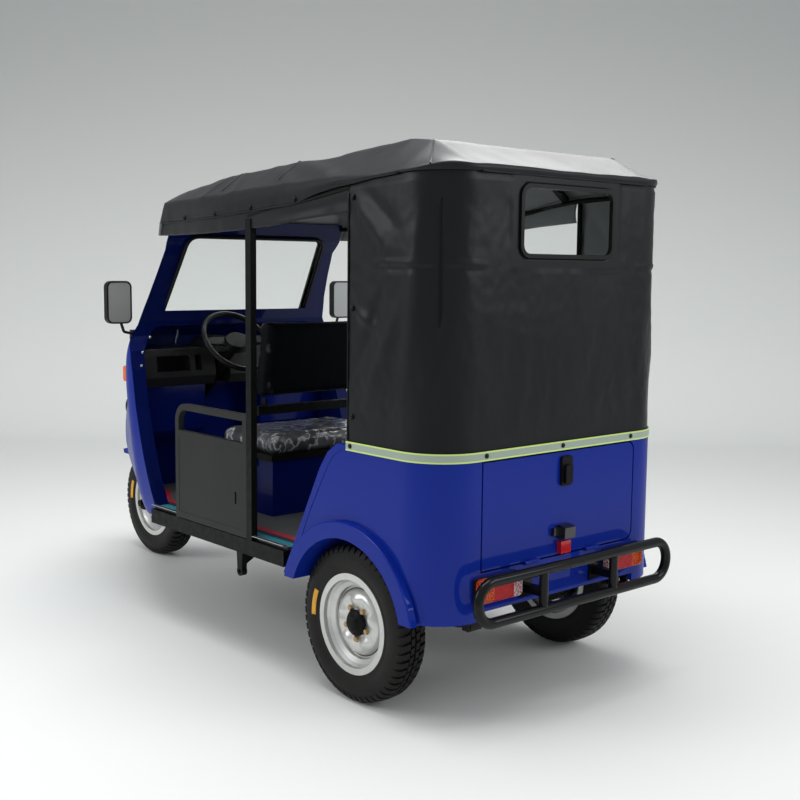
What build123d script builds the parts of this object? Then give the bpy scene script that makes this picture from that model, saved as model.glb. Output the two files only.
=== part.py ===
from build123d import *
import math
import os

os.makedirs("parts", exist_ok=True)

# A passenger motor tricycle with a steel cab, an open driver's side, a vinyl top and a rear bench.
# Millimetres. X points to the vehicle's left, the front faces -Y, Z is up from the ground.

# Running gear
wheelbase = 2195
tyre_radius = 265
tyre_half_width = 58
rim_radius = 169
rim_half_width = 51
track_half = 491
rear_overhang = 531
seat_gap = 0.3
form_gap = 1
bearing_gap = 0.08
moving_gap = 5.5

# Body
body_half_width = 565
body_back = 430
body_bottom = 372
body_top = 865
body_wall = 18
corner_radius = 165
arch_radius = 288
arch_centre_y = 12
arch_centre_z = 272
flare_width = 55
flare_stand = 24
corner_bottom = 344
rear_panel_half = 385
curtain_top_back = 1724
curtain_top_front = 1699
curtain_wall = 6
floor_top = 447
floor_sheet = 17
mat_thickness = 8
rail_height = 57
rail_width = 25
rail_front = 919.3

# Cab, stations from the front axle
cab_wall = 14
flange_width = 62
cab_top = 1625
cab_bottom = 405
screen_foot_z = 1185
screen_low = (646, 1194)
screen_high = (866, 1567)
screen_half_low = 381
screen_half_high = 353
rubber_width = 16
rubber_depth = 24
glass_thickness = 5

# Steering
rake = 20
fork_offset = 40
axle_drop = 371
steer_limit = 35
stem_radius = 16
head_radius = 27
head_length = 178
leg_radius = 18
wheel_tilt = 48
steering_wheel_x = 100
steering_wheel_y = 851
steering_wheel_z = 1114
steering_wheel_radius = 166

# Roof
pillar_y = -563
pillar_depth = 33
pillar_width = 25
pillar_top = 1603
canopy_wall = 8
bow_size = 22

# Tailgate
gate_half_width = 370
gate_bottom = 503
gate_top = 843
gate_seam = 6
bumper_y = 514
bumper_half = 484
bumper_tube = 17
bumper_low = 365
bumper_high = 495

overall_length = tyre_radius + wheelbase + rear_overhang
front_axle_y = tyre_radius - overall_length / 2
rear_axle_y = front_axle_y + wheelbase


def side_plane(x, axle_y=rear_axle_y):
    """A plane facing +X whose sketch coordinates are (station from the axle, height)."""
    return Plane(origin=(x, axle_y, 0), x_dir=(0, 1, 0), z_dir=(1, 0, 0))


def cross_plane(station, axle_y=rear_axle_y):
    """A plane facing the front whose sketch coordinates are (x, height)."""
    return Plane(origin=(0, axle_y + station, 0), x_dir=(1, 0, 0), z_dir=(0, -1, 0))


def flat_plane(height, axle_y=rear_axle_y):
    """A level plane whose sketch coordinates are (x, station from the axle)."""
    return Plane(origin=(0, axle_y, height), x_dir=(1, 0, 0), z_dir=(0, 0, 1))


def block(x0, x1, y0, y1, z0, z1, axle_y=rear_axle_y):
    """A plain block between two corners, its stations measured from an axle."""
    with BuildPart() as made:
        with BuildSketch(flat_plane(z0, axle_y)):
            with Locations(((x0 + x1) / 2, (y0 + y1) / 2)):
                Rectangle(x1 - x0, y1 - y0)
        extrude(amount=z1 - z0)
    return made.part


def side_prism(points, x0, x1, axle_y=rear_axle_y):
    """A prism along X over an outline of (station, height) points."""
    with BuildPart() as made:
        with BuildSketch(side_plane(x0, axle_y)):
            with BuildLine():
                Polyline(*points, close=True)
            make_face()
        extrude(amount=x1 - x0)
    return made.part


def tube(radius, start, end):
    """A round bar between two points."""
    axis = Vector(*end) - Vector(*start)
    with BuildPart() as made:
        with BuildSketch(Plane(origin=start, z_dir=axis)):
            Circle(radius)
        extrude(amount=axis.length)
    return made.part


def bent_tube(radius, points, bend):
    """A round bar along a route of straight runs joined by bends."""
    with BuildPart() as made:
        with BuildLine() as route:
            FilletPolyline(*points, radius=bend)
        with BuildSketch(Plane(origin=route.line @ 0, z_dir=route.line % 0)):
            Circle(radius)
        sweep(path=route.line)
    return made.part


def both_sides(part):
    """A piece and its mirror image across the vehicle's centre plane."""
    return part + mirror(part, about=Plane.YZ)


def save(part, name):
    """Names a finished piece and writes it."""
    part.label = name
    export_step(part, "parts/" + name + ".step")


# Wheels: one pressed steel rim, one tyre and one hub shape, turned about X
bead_radius = 152.4
rim_sheet = 5
well_radius = 128
disc_face = 22
bolt_circle = 55
pilot_radius = 33
stub_radius = 17.5
drum_radius = 95
drum_depth = 55


def turned(x, axle_y, right, outline):
    """A ring about a wheel's axle over (offset outwards, radius) points."""
    side = -1 if right else 1
    with BuildPart() as made:
        with BuildSketch(Plane(origin=(x, axle_y, tyre_radius), x_dir=(side, 0, 0), z_dir=(0, -side, 0))):
            with BuildLine():
                Polyline(*outline, close=True)
            make_face()
        revolve(axis=Axis((x, axle_y, tyre_radius), (1, 0, 0)))
    return made.part


def rim(x, axle_y, right):
    """The barrel with its stepped well, and the disc with five raised ribs and its bolts."""
    flange = rim_half_width
    outline = [
        (-flange, rim_radius), (-flange + rim_sheet, rim_radius),
        (-flange + rim_sheet, bead_radius), (-28, bead_radius), (-18, well_radius),
        (16, well_radius), (24, bead_radius - 9), (34, bead_radius),
        (flange - rim_sheet, bead_radius), (flange - rim_sheet, rim_radius), (flange, rim_radius),
        (flange, bead_radius - rim_sheet), (36, bead_radius - rim_sheet),
        (26, bead_radius - 14), (19, well_radius - rim_sheet), (8, well_radius - rim_sheet - 4),
        (12, 104), (disc_face, 88), (disc_face, pilot_radius), (disc_face - 6, pilot_radius),
        (disc_face - 6, 84), (4, 104), (0, well_radius - rim_sheet),
        (-20, well_radius - rim_sheet), (-32, bead_radius - rim_sheet),
        (-flange, bead_radius - rim_sheet),
    ]
    side = -1 if right else 1
    face = Plane(origin=(x + side * disc_face, axle_y, tyre_radius), x_dir=(0, 1, 0), z_dir=(side, 0, 0))
    with BuildPart() as made:
        add(turned(x, axle_y, right, outline))
        with BuildSketch(face):
            with PolarLocations(74, 5, 90):
                SlotOverall(24, 13, rotation=90)
        extrude(amount=4, taper=20)
        with BuildSketch(face):
            with PolarLocations(bolt_circle, 5, 54):
                RegularPolygon(9, 6)
        extrude(amount=9)
    return made.part


def tyre(x, axle_y, right):
    """The carcass, its beads seated inside the rim's flanges."""
    bead = rim_half_width - rim_sheet - seat_gap
    foot = bead_radius + seat_gap
    half = [
        (bead, foot), (bead, rim_radius + 2), (tyre_half_width - 2, 196), (tyre_half_width, 216),
        (tyre_half_width - 3, 238), (tyre_half_width - 9, 256), (36, tyre_radius - 2), (16, tyre_radius),
    ]
    outline = half + [(-s, r) for s, r in reversed(half)]
    outline += [(-26, foot), (-16, 170), (16, 170), (26, foot)]
    return turned(x, axle_y, right, outline)


def hub(x, axle_y, right):
    """A rear hub: cap, pilot, flange behind the disc, brake drum and the stub in the axle tube."""
    back = disc_face - 6 - seat_gap
    outline = [
        (back + 34, 0), (back + 34, 18), (back + 28, 24), (back + 8, pilot_radius - seat_gap),
        (back, pilot_radius - seat_gap), (back, 72), (back - 9, 74), (back - 12, drum_radius),
        (back - 12 - drum_depth, drum_radius), (back - 12 - drum_depth, drum_radius - 7),
        (back - 20, drum_radius - 7), (back - 20, 24), (back - 60, stub_radius),
        (back - 130, stub_radius), (back - 130, 0),
    ]
    return turned(x, axle_y, right, outline)


front_hub_half = 62
axle_pin_radius = 9

front_hub_outline = [
    (front_hub_half, axle_pin_radius + bearing_gap), (front_hub_half, 24), (disc_face + 8, pilot_radius - seat_gap),
    (disc_face - 6 - seat_gap, pilot_radius - seat_gap), (disc_face - 6 - seat_gap, 72), (4, 72), (-6, 84),
    (-46, 84), (-46, 30), (-front_hub_half, 24), (-front_hub_half, axle_pin_radius + bearing_gap),
]

for name, x, axle_y, right in (
    ("front", 0, front_axle_y, False),
    ("rear_left", track_half, rear_axle_y, False),
    ("rear_right", -track_half, rear_axle_y, True),
):
    save(rim(x, axle_y, right), "rim_" + name)
    save(tyre(x, axle_y, right), "tyre_" + name)
    if name == "front":
        save(turned(x, axle_y, right, front_hub_outline), "hub_" + name)
    else:
        save(hub(x, axle_y, right), "hub_" + name)

# Rear axle: a tube with a final-drive housing, its motor and two brake backing plates
axle_tube_radius = 32
plate_outer = track_half + disc_face - 6 - seat_gap - 12 - drum_depth - moving_gap
plate_thickness = 8
drive_x = 40

with BuildPart() as rear_axle:
    add(tube(axle_tube_radius, (-plate_outer, rear_axle_y, tyre_radius), (plate_outer, rear_axle_y, tyre_radius)))
    with BuildSketch(Plane.YZ.offset(drive_x - 45)):
        with Locations((rear_axle_y, tyre_radius)):
            Circle(105)
    extrude(amount=90)
    fillet(rear_axle.edges().filter_by(GeomType.CIRCLE).filter_by(lambda e: abs(e.radius - 105) < 1), 25)
    with BuildSketch(Plane.YZ.offset(drive_x + 40)):
        with Locations((rear_axle_y - 30, tyre_radius + 8)):
            Circle(82)
    extrude(amount=175)
    for side in (-1, 1):
        with BuildSketch(Plane.YZ.offset(side * plate_outer)):
            with Locations((rear_axle_y, tyre_radius)):
                Circle(drum_radius)
        extrude(amount=-side * plate_thickness)
    for side in (-1, 1):
        with BuildSketch(Plane.YZ.offset(side * plate_outer)):
            with Locations((rear_axle_y, tyre_radius)):
                Circle(stub_radius + bearing_gap)
        extrude(amount=-side * 90, mode=Mode.SUBTRACT)
save(rear_axle.part, "rear_axle")

# Leaf springs over the axle, with their eyes, hanger, shackle and centre clamp
spring_x = 370
leaf_width = 42
leaf_thickness = 7
front_eye = (-470, 312)
rear_eye = (392, 300)
spring_seat = tyre_radius + axle_tube_radius
rail_low = 372
rail_top = floor_top - floor_sheet
eye_radius = 17

with BuildPart() as spring:
    with BuildSketch(side_plane(spring_x - leaf_width / 2)):
        leaves = ((1.0, 0), (0.78, 1), (0.56, 2), (0.34, 3))
        for share, row in leaves:
            low = spring_seat + (len(leaves) - 1 - row) * leaf_thickness
            with BuildLine():
                Polyline(
                    (front_eye[0] * share, low + 2 * share), (0, low), (rear_eye[0] * share, low + 2 * share),
                    (rear_eye[0] * share, low + 2 * share + leaf_thickness), (0, low + leaf_thickness),
                    (front_eye[0] * share, low + 2 * share + leaf_thickness), close=True)
            make_face()
        for eye in (front_eye, rear_eye):
            with Locations((eye[0], spring_seat + 4 * leaf_thickness - 4)):
                Circle(eye_radius)
    extrude(amount=leaf_width)
    with BuildSketch(side_plane(spring_x - leaf_width / 2 - 10)):
        with Locations((0, spring_seat + 2 * leaf_thickness + 9)):
            Rectangle(90, 4 * leaf_thickness + 18)
    extrude(amount=leaf_width + 20)
spring_left = spring.part - tube(
    axle_tube_radius, (0, rear_axle_y, tyre_radius), (body_half_width, rear_axle_y, tyre_radius))

eye_z = spring_seat + 4 * leaf_thickness - 4
hanger_outline = [
    (front_eye[0] - 32, rail_low), (front_eye[0] + 32, rail_low),
    (front_eye[0] + 16, eye_z - 14), (front_eye[0] - 16, eye_z - 14)]
shackle_outline = [
    (rear_eye[0] - 26, rail_low), (rear_eye[0] + 12, rail_low),
    (rear_eye[0] + 14, eye_z - 12), (rear_eye[0] - 14, eye_z - 12)]
with BuildPart() as spring_hangers:
    for outline in (hanger_outline, shackle_outline):
        for edge in (-1, 1):
            x = spring_x + edge * (leaf_width / 2 + 4.3)
            add(side_prism(outline, x - 4, x + 4))
save(both_sides(spring_left), "leaf_springs")

# Chassis: two main rails with the spring hangers, and cross members out to the sills
rail_half = 30
frame_front = 455
frame_back = 412
front_shift = front_axle_y - rear_axle_y
sill_inner = body_half_width - rail_width

narrow_x = 150
narrow_half = 25
cross_station = -1230
pad_y = -864.5
pad_half = 30
pad_drop = 6

with BuildPart() as chassis_frame:
    for side in (-1, 1):
        x = side * spring_x
        add(block(x - rail_half, x + rail_half, cross_station, frame_back, rail_low, rail_top))
        add(block(x - pad_half, x + pad_half, pad_y - pad_half, pad_y + pad_half, rail_low - pad_drop, rail_low))
        x = side * narrow_x
        add(block(x - narrow_half, x + narrow_half, front_shift + frame_front, cross_station, rail_low, rail_top))
    add(block(-narrow_x, narrow_x, front_shift + frame_front, front_shift + frame_front + 40, rail_low, rail_top))
    add(block(-spring_x, spring_x, frame_back - 40, frame_back, rail_low, rail_top))
    for station in (cross_station, -668, -420):
        add(block(-sill_inner, sill_inner, station, station + 40, rail_low + 18, rail_top))
save(chassis_frame.part + both_sides(spring_hangers.part), "chassis_frame")

# Sills along both sides, with the lashing brackets under them
sill_top = floor_top
sill_back = -349.3
with BuildPart() as side_sills:
    add(block(sill_inner, body_half_width, front_shift + rail_front, sill_back, sill_top - rail_height, sill_top))

lash_y = -646
lash_z = 313
lash_eye_radius = 18
lash_bore = 8
lash_width = 32
with BuildPart() as lashing_brackets:
    with BuildSketch(side_plane(sill_inner - 10)):
        with BuildLine():
            Polyline((lash_y - 20, rail_low + 18), (lash_y + 20, rail_low + 18),
                     (lash_y + 14, lash_z), (lash_y - 14, lash_z), close=True)
        make_face()
        with Locations((lash_y, lash_z)):
            Circle(lash_eye_radius)
            Circle(lash_bore, mode=Mode.SUBTRACT)
    extrude(amount=lash_width - 10)
    with BuildSketch(cross_plane(lash_y - 6)):
        with BuildLine():
            Polyline((sill_inner - 10, lash_z + 22), (sill_inner - 10, rail_low + 18),
                     (spring_x + 60, rail_low + 18), close=True)
        make_face()
    extrude(amount=-12)
save(both_sides(side_sills.part + lashing_brackets.part), "side_sills")


# Cab: horizontal sections from the sill to the roof, each a rounded nose
#   height, half width at the back, side corner x and station, nose corner x and station, two radii
cab_low_sections = (
    (cab_bottom, 545, 520, 800, 250, 290, 200, 240),
    (522, 560, 545, 775, 255, 165, 200, 250),
    (680, 565, 558, 755, 250, 100, 200, 250),
    (850, 565, 556, 715, 235, 130, 200, 250),
    (1068, 562, 550, 700, 340, 365, 120, 160),
    (screen_foot_z, 500, 495, 690, 430, 633, 50, 50),
)
cab_high_sections = (
    cab_low_sections[-1],
    (cab_top, 447, 445, 912, 412, 892, 40, 30),
)
cab_back = 1010


def cab_section(row, inset):
    """One section's outline, drawn in by the wall's thickness."""
    height, back_half, side_x, side_y, nose_x, nose_y, side_r, nose_r = row
    side_back = max(side_y + 0.6 * inset, nose_y + inset + 12)
    right = [(back_half - inset, cab_back), (side_x - inset, side_back), (nose_x - 0.8 * inset, nose_y + inset)]
    corners = right + [(-x, y) for x, y in reversed(right)]
    with BuildSketch(flat_plane(height, front_axle_y)) as drawn:
        with BuildLine():
            Polyline(*corners, close=True)
        make_face()
        sides = drawn.vertices().filter_by(lambda v: abs(abs(v.X) - (side_x - inset)) < 0.01)
        fillet(sides, side_r * (1 - inset / 100))
        nose = drawn.vertices().sort_by(Axis.Y)[0:2]
        fillet(nose, nose_r * (1 - inset / 100))
    return drawn.sketch


def cab_low_form(inset):
    """The cab's outer form below the windscreen, or a copy of it drawn in."""
    with BuildPart() as low:
        loft([cab_section(row, inset).face() for row in cab_low_sections])
    return low.part


def cab_form():
    """The cab's whole outer form."""
    with BuildPart() as high:
        loft([cab_section(row, 0).face() for row in cab_high_sections], ruled=True)
    return cab_low_form(0) + high.part


door_edge = [(919, cab_bottom), (919, 440), (790, 850), (757, 1000), (735, 1080), (690, 1140), (693, 1200), (734, 1300),
             (782, 1400), (833, 1500), (872, 1550), (908, cab_top)]


def behind_door(shift, far=1400):
    """Everything behind the cab's rear edge, moved forward by shift."""
    edge = [(y - shift, z) for y, z in door_edge]
    low, high = cab_bottom - 50, cab_top + 300
    outline = [(edge[0][0], low)] + edge + [(edge[-1][0], high), (far, high), (far, low)]
    return side_prism(outline, -700, 700, front_axle_y)


crown_room = 640
nose_cut = [(-200, 300), (1100, 300), (1100, cab_bottom + 1), (800, cab_bottom + 1), (640, 432),
            (350, 520), (236, crown_room), (-200, crown_room)]

screen_angle = math.degrees(math.atan2(screen_high[0] - screen_low[0], screen_high[1] - screen_low[1]))
screen_height = math.hypot(screen_high[0] - screen_low[0], screen_high[1] - screen_low[1])
screen_plane = Plane(
    origin=(0, front_axle_y + (screen_low[0] + screen_high[0]) / 2, (screen_low[1] + screen_high[1]) / 2),
    x_dir=(1, 0, 0),
    z_dir=(0, -math.cos(math.radians(screen_angle)), math.sin(math.radians(screen_angle))))


def screen_outline(inset):
    """The windscreen's rounded trapezoid in its own plane."""
    half = screen_height / 2 + rubber_width - inset
    with BuildSketch(screen_plane) as drawn:
        with BuildLine():
            Polyline((-screen_half_low + inset, -half), (screen_half_low - inset, -half),
                     (screen_half_high - inset, half), (-screen_half_high + inset, half), close=True)
        make_face()
        fillet(drawn.vertices(), 62 - inset)
    return drawn.sketch


def screen_slab(inset, thickness):
    """A slab of the windscreen's outline, centred on the glass."""
    with BuildPart() as made:
        add(screen_outline(inset))
        extrude(amount=thickness / 2, both=True)
    return made.part


lamp_x = 182
lamp_z = 770
lamp_radius = 72

cab_solid = cab_form()
cab_hollow = cab_low_form(cab_wall)
cab_core = cab_low_form(flange_width)
lamp_bore = tube(lamp_radius + seat_gap, (lamp_x, front_axle_y, lamp_z), (lamp_x, front_axle_y + 330, lamp_z))
cab_shell = (cab_solid - behind_door(0) - (cab_hollow - behind_door(cab_wall)) - cab_core
             - side_prism(nose_cut, -700, 700, front_axle_y) - screen_slab(0, 120) - both_sides(lamp_bore))
save(cab_shell, "cab_shell")

screen_rubber = screen_slab(0, rubber_depth) - screen_slab(rubber_width, 2 * rubber_depth)

# Floor between the sills, with its mat, and the bulkhead that closes the cab's nose from the footwell
bulkhead_y = 505
bulkhead_sheet = 12
floor_front = front_shift + bulkhead_y
house_inner = 403
floor_inner = sill_inner - seat_gap
column_axis = Vector(0, -math.sin(math.radians(wheel_tilt)), -math.cos(math.radians(wheel_tilt)))
wheel_centre = Vector(steering_wheel_x, front_axle_y + steering_wheel_y, steering_wheel_z)
column_radius = 22
shaft_radius = 10
dash_front, dash_back = 480, 742
dash_low, dash_high = 922, 1082
cab_inside = cab_low_form(cab_wall + form_gap) - behind_door(cab_wall + form_gap)
cab_room = cab_inside + cab_low_form(flange_width + form_gap)


def along_column(distance):
    """A point on the steering column, measured down from the steering wheel's centre."""
    return wheel_centre + column_axis * distance


return_width = 25
return_inner = body_half_width - body_wall - return_width - seat_gap
house_front = -245
floor_pan = (
    block(-floor_inner, floor_inner, front_shift + rail_front, sill_back, rail_top, floor_top)
    + block(-return_inner, return_inner, sill_back, house_front, rail_top, floor_top)
    + block(-house_inner + seat_gap, house_inner - seat_gap, house_front, body_back - body_wall - seat_gap,
            rail_top, floor_top)
    + (block(-floor_inner, floor_inner, floor_front, front_shift + rail_front, rail_top, floor_top)
       & cab_room))
save(floor_pan, "floor_pan")

mat_back = -171
floor_mat = (
    block(-floor_inner, floor_inner, front_shift + rail_front, -360, floor_top, floor_top + mat_thickness)
    + block(-house_inner + 1, house_inner - 1, -360, mat_back, floor_top, floor_top + mat_thickness)
    + (block(-floor_inner, floor_inner, floor_front + bulkhead_sheet, front_shift + rail_front,
             floor_top, floor_top + mat_thickness)
       & cab_room))

column_hole = tube(column_radius + 12, tuple(along_column(60)), tuple(along_column(640)))
pocket_outline = [(bulkhead_y, 690), (bulkhead_y + 120, 690), (bulkhead_y + 150, 720),
                  (bulkhead_y + 165, dash_low - seat_gap), (bulkhead_y, dash_low - seat_gap)]
bulkhead = (
    block(-body_half_width, body_half_width, bulkhead_y, bulkhead_y + bulkhead_sheet, floor_top,
          dash_low - seat_gap, front_axle_y)
    + both_sides(side_prism(pocket_outline, 150, body_half_width, front_axle_y)))
bulkhead = (bulkhead & cab_inside) - column_hole
save(bulkhead, "bulkhead")

# Dashboard: a moulding from side to side, open in the middle for the column, with a pocket and a slot
dash_outline = [(dash_front, dash_low), (dash_back - 20, dash_low), (dash_back, dash_low + 40),
                (dash_back - 18, dash_high), (dash_front, dash_high)]
dash_slot = 38
dash_bridge = 22
pod_back = dash_back - 34
dashboard = side_prism(dash_outline, -body_half_width, body_half_width, front_axle_y) & cab_inside
dashboard = dashboard - block(steering_wheel_x - dash_slot, steering_wheel_x + dash_slot, dash_front + 80, 900,
                              900, dash_high - dash_bridge, front_axle_y)
dashboard = dashboard - both_sides(block(503, 600, 700, 900, 900, 1200, front_axle_y))
for x0, x1 in ((265, 425), (206, 238), (-425, -178)):
    dashboard = dashboard - block(x0, x1, dash_back - 110, 900, 985, 1052, front_axle_y)
with BuildPart() as instrument_pod:
    with BuildSketch(cross_plane(pod_back, front_axle_y)):
        with Locations((steering_wheel_x, dash_high)):
            Ellipse(92, 50)
            with Locations((0, -30)):
                Rectangle(200, 60, mode=Mode.SUBTRACT)
    extrude(amount=100)
    with BuildSketch(cross_plane(pod_back, front_axle_y)):
        with Locations((steering_wheel_x, dash_high)):
            Ellipse(84, 42)
            with Locations((0, -26)):
                Rectangle(200, 60, mode=Mode.SUBTRACT)
    extrude(amount=40, mode=Mode.SUBTRACT)
save(dashboard + instrument_pod.part, "dashboard")

# Pedals on a bracket at the bulkhead
with BuildPart() as pedals:
    for x in (-110, 95):
        add(block(x - 8, x + 8, bulkhead_y + bulkhead_sheet, bulkhead_y + bulkhead_sheet + 50, 600, 616, front_axle_y))
        add(side_prism([(bulkhead_y + 50, 616), (bulkhead_y + 66, 616), (bulkhead_y + 100, 505),
                        (bulkhead_y + 86, 500)], x - 6, x + 6, front_axle_y))
        add(side_prism([(bulkhead_y + 78, 496), (bulkhead_y + 86, 490), (bulkhead_y + 122, 530),
                        (bulkhead_y + 114, 536)], x - 28, x + 28, front_axle_y))
save(pedals.part, "pedals")

# Steering head: the tube that holds the fork, its gear case and the column tube
steer_plane = Plane(
    origin=(0, front_axle_y + fork_offset * math.cos(math.radians(rake)) + axle_drop * math.sin(math.radians(rake)),
            tyre_radius - fork_offset * math.sin(math.radians(rake)) + axle_drop * math.cos(math.radians(rake))),
    x_dir=(1, 0, 0),
    z_dir=(0, math.sin(math.radians(rake)), math.cos(math.radians(rake))))


def steer_point(x, y, z):
    """A point given across, behind and along the steering axis."""
    return tuple(steer_plane.from_local_coords((x, y, z)))


def steer_tube(radius, start, end):
    """A round bar between two points given in the steering axis's own directions."""
    return tube(radius, steer_point(*start), steer_point(*end))


def steer_block(x, y0, y1, z0, z1):
    """A plain block, square to the steering axis."""
    with BuildPart() as made:
        with BuildSketch(steer_plane.offset(z0)):
            with Locations((0, (y0 + y1) / 2)):
                Rectangle(2 * x, y1 - y0)
        extrude(amount=z1 - z0)
    return made.part


column_length = 640
hub_drop = 40
head_low = -14
gear_case = block(-34, steering_wheel_x + 34, 190, 400, 620, 715, front_axle_y)
steering_head = (
    steer_tube(head_radius, (0, 0, head_low), (0, 0, head_low + head_length))
    + gear_case
    + tube(column_radius, tuple(along_column(hub_drop + moving_gap)), tuple(along_column(column_length))))
for side in (-1, 1):
    steering_head = steering_head + tube(
        20, (side * 60, front_axle_y + frame_front + 20, rail_top - 22), steer_point(side * 14, 26, 12))
steering_head = (
    steering_head
    - steer_tube(stem_radius + bearing_gap, (0, 0, -60), (0, 0, 200))
    - tube(shaft_radius + bearing_gap, tuple(along_column(-50)), tuple(along_column(column_length - 60)))
    - chassis_frame.part)
save(steering_head, "steering_head")

# Fork: stem in the head tube, crown, two legs and the axle pin
leg_x = tyre_half_width + 5 + 4 + seat_gap + leg_radius
crown_low, crown_high = -56, -20
fork = (
    steer_tube(stem_radius, (0, 0, crown_high), (0, 0, head_low + head_length + 12))
    + steer_tube(head_radius, (0, 0, crown_high), (0, 0, head_low - seat_gap))
    + steer_tube(head_radius, (0, 0, head_low + head_length + seat_gap), (0, 0, head_low + head_length + 12))
    + steer_block(leg_x + leg_radius + 6, -fork_offset - leg_radius - 6, 26, crown_low, crown_high))
for side in (-1, 1):
    x = side * leg_x
    fork = fork + steer_tube(leg_radius, (x, -fork_offset, -axle_drop - 24), (x, -fork_offset, crown_high))
    fork = fork + steer_tube(leg_radius + 5, (x, -fork_offset, -axle_drop - 30), (x, -fork_offset, -axle_drop + 150))
fork = fork + tube(axle_pin_radius, (-leg_x - 36, front_axle_y, tyre_radius), (leg_x + 36, front_axle_y, tyre_radius))
fork = fork + tube(16, (-leg_x - 36, front_axle_y, tyre_radius), (-leg_x - 14, front_axle_y, tyre_radius))
fork = fork + tube(16, (leg_x + 14, front_axle_y, tyre_radius), (leg_x + 36, front_axle_y, tyre_radius))
save(fork, "fork")

# Front mudguard over the tyre, carried between the legs, its front lip flared out
guard_radius = tyre_radius + 26
guard_sheet = 4
guard_crown = 8
guard_skirt = 48
guard_half = tyre_half_width + 5
guard_lip_angle = 60
guard_back_angle = 160
wheel_axis = Axis((0, front_axle_y, tyre_radius), (1, 0, 0))


def guard_profile(half, radius):
    """One edge of the guard's section: skirt, shoulder and crown."""
    return [(-half, -radius + guard_skirt), (-half, -radius), (-half + 24, -radius - guard_crown),
            (half - 24, -radius - guard_crown), (half, -radius), (half, -radius + guard_skirt)]


with BuildPart() as guard_arc:
    with BuildSketch(Plane(origin=wheel_axis.position, x_dir=(1, 0, 0), z_dir=(0, 1, 0))):
        with BuildLine():
            inner = guard_profile(guard_half, guard_radius)
            outer = guard_profile(guard_half + guard_sheet, guard_radius + guard_sheet)
            outer[0] = (outer[0][0], inner[0][1])
            outer[-1] = (outer[-1][0], inner[-1][1])
            Polyline(*outer, *reversed(inner), close=True)
        make_face()
    revolve(axis=wheel_axis, revolution_arc=guard_back_angle - guard_lip_angle)
lip_root = (-151, tyre_radius + 262)
lip_tip = (-257, tyre_radius + 236)
lip_skirt = [lip_root, lip_tip, (lip_tip[0] + 6, lip_tip[1] - 20), (-128, tyre_radius + 214)]
lip_sheet = [lip_root, lip_tip, (lip_tip[0], lip_tip[1] - guard_sheet), (lip_root[0], lip_root[1] - guard_sheet)]
mudguard = guard_arc.part.rotate(wheel_axis, 90 - guard_back_angle)
mudguard = mudguard + side_prism(lip_sheet, -guard_half - guard_sheet, guard_half + guard_sheet, front_axle_y)
mudguard = mudguard + both_sides(side_prism(lip_skirt, guard_half, guard_half + guard_sheet, front_axle_y))
save(mudguard, "mudguard")

# Steering wheel: rim, two spokes, an oval pad and the shaft in the column tube
wheel_plane = Plane(origin=wheel_centre, x_dir=(1, 0, 0), z_dir=-column_axis)
grip_radius = 12
with BuildPart() as grip:
    Torus(steering_wheel_radius - grip_radius, grip_radius)
with BuildPart() as wheel_pad:
    with BuildSketch(Plane.XY.offset(-24)):
        Ellipse(66, 48)
    extrude(amount=34, taper=12)
    for side in (-1, 1):
        with BuildSketch(Plane.XY.offset(-8)):
            with BuildLine():
                Polyline((side * 40, -22), (side * 40, 22), (side * 160, 4), (side * 160, -26), close=True)
            make_face()
        extrude(amount=9)
    with BuildSketch(Plane.XY.offset(-hub_drop)):
        Circle(18)
    extrude(amount=20)
    with BuildSketch(Plane.XY.offset(-hub_drop)):
        Circle(shaft_radius)
    extrude(amount=-(column_length - 60 - hub_drop - moving_gap))
steering_wheel_part = wheel_plane.location * (grip.part + wheel_pad.part)
save(steering_wheel_part, "steering_wheel")

# Mirrors on bent arms, clamped to the cab's corners
mirror_outline = (530, 642, 1195, 1371)
mirror_depth = (681, 719)
with BuildPart() as mirror_case:
    with BuildSketch(cross_plane(mirror_depth[1], front_axle_y)):
        with Locations(((mirror_outline[0] + mirror_outline[1]) / 2, (mirror_outline[2] + mirror_outline[3]) / 2)):
            RectangleRounded(mirror_outline[1] - mirror_outline[0], mirror_outline[3] - mirror_outline[2], 26)
    extrude(amount=mirror_depth[1] - mirror_depth[0])
    fillet(mirror_case.faces().sort_by(Axis.Y)[0].edges(), 12)
    with BuildSketch(cross_plane(mirror_depth[1], front_axle_y)):
        with Locations(((mirror_outline[0] + mirror_outline[1]) / 2, (mirror_outline[2] + mirror_outline[3]) / 2)):
            RectangleRounded(mirror_outline[1] - mirror_outline[0] - 12, mirror_outline[3] - mirror_outline[2] - 12, 21)
    extrude(amount=4, mode=Mode.SUBTRACT)
arm_y = front_axle_y + 701
mirror_arm = (
    bent_tube(6, [(572, arm_y, 1197), (560, arm_y, 1160), (496, arm_y - 20, 1148)], 14)
    + block(478, 514, 664, 698, 1124, 1166, front_axle_y))
mirror_left = (mirror_case.part + mirror_arm) - cab_solid
with BuildPart() as mirror_pane:
    with BuildSketch(cross_plane(mirror_depth[1] - 2, front_axle_y)):
        with Locations(((mirror_outline[0] + mirror_outline[1]) / 2, (mirror_outline[2] + mirror_outline[3]) / 2)):
            RectangleRounded(mirror_outline[1] - mirror_outline[0] - 13, mirror_outline[3] - mirror_outline[2] - 13, 20)
    extrude(amount=2)
save(both_sides(mirror_left), "mirror_cases")
save(both_sides(mirror_pane.part), "mirror_panes")

# Side indicators and headlamps
with BuildPart() as indicator:
    with BuildSketch(side_plane(470, front_axle_y)):
        with Locations((605, 975)):
            RectangleRounded(46, 66, 12)
    extrude(amount=34)
save(both_sides(indicator.part - cab_solid), "front_indicators")

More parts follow.
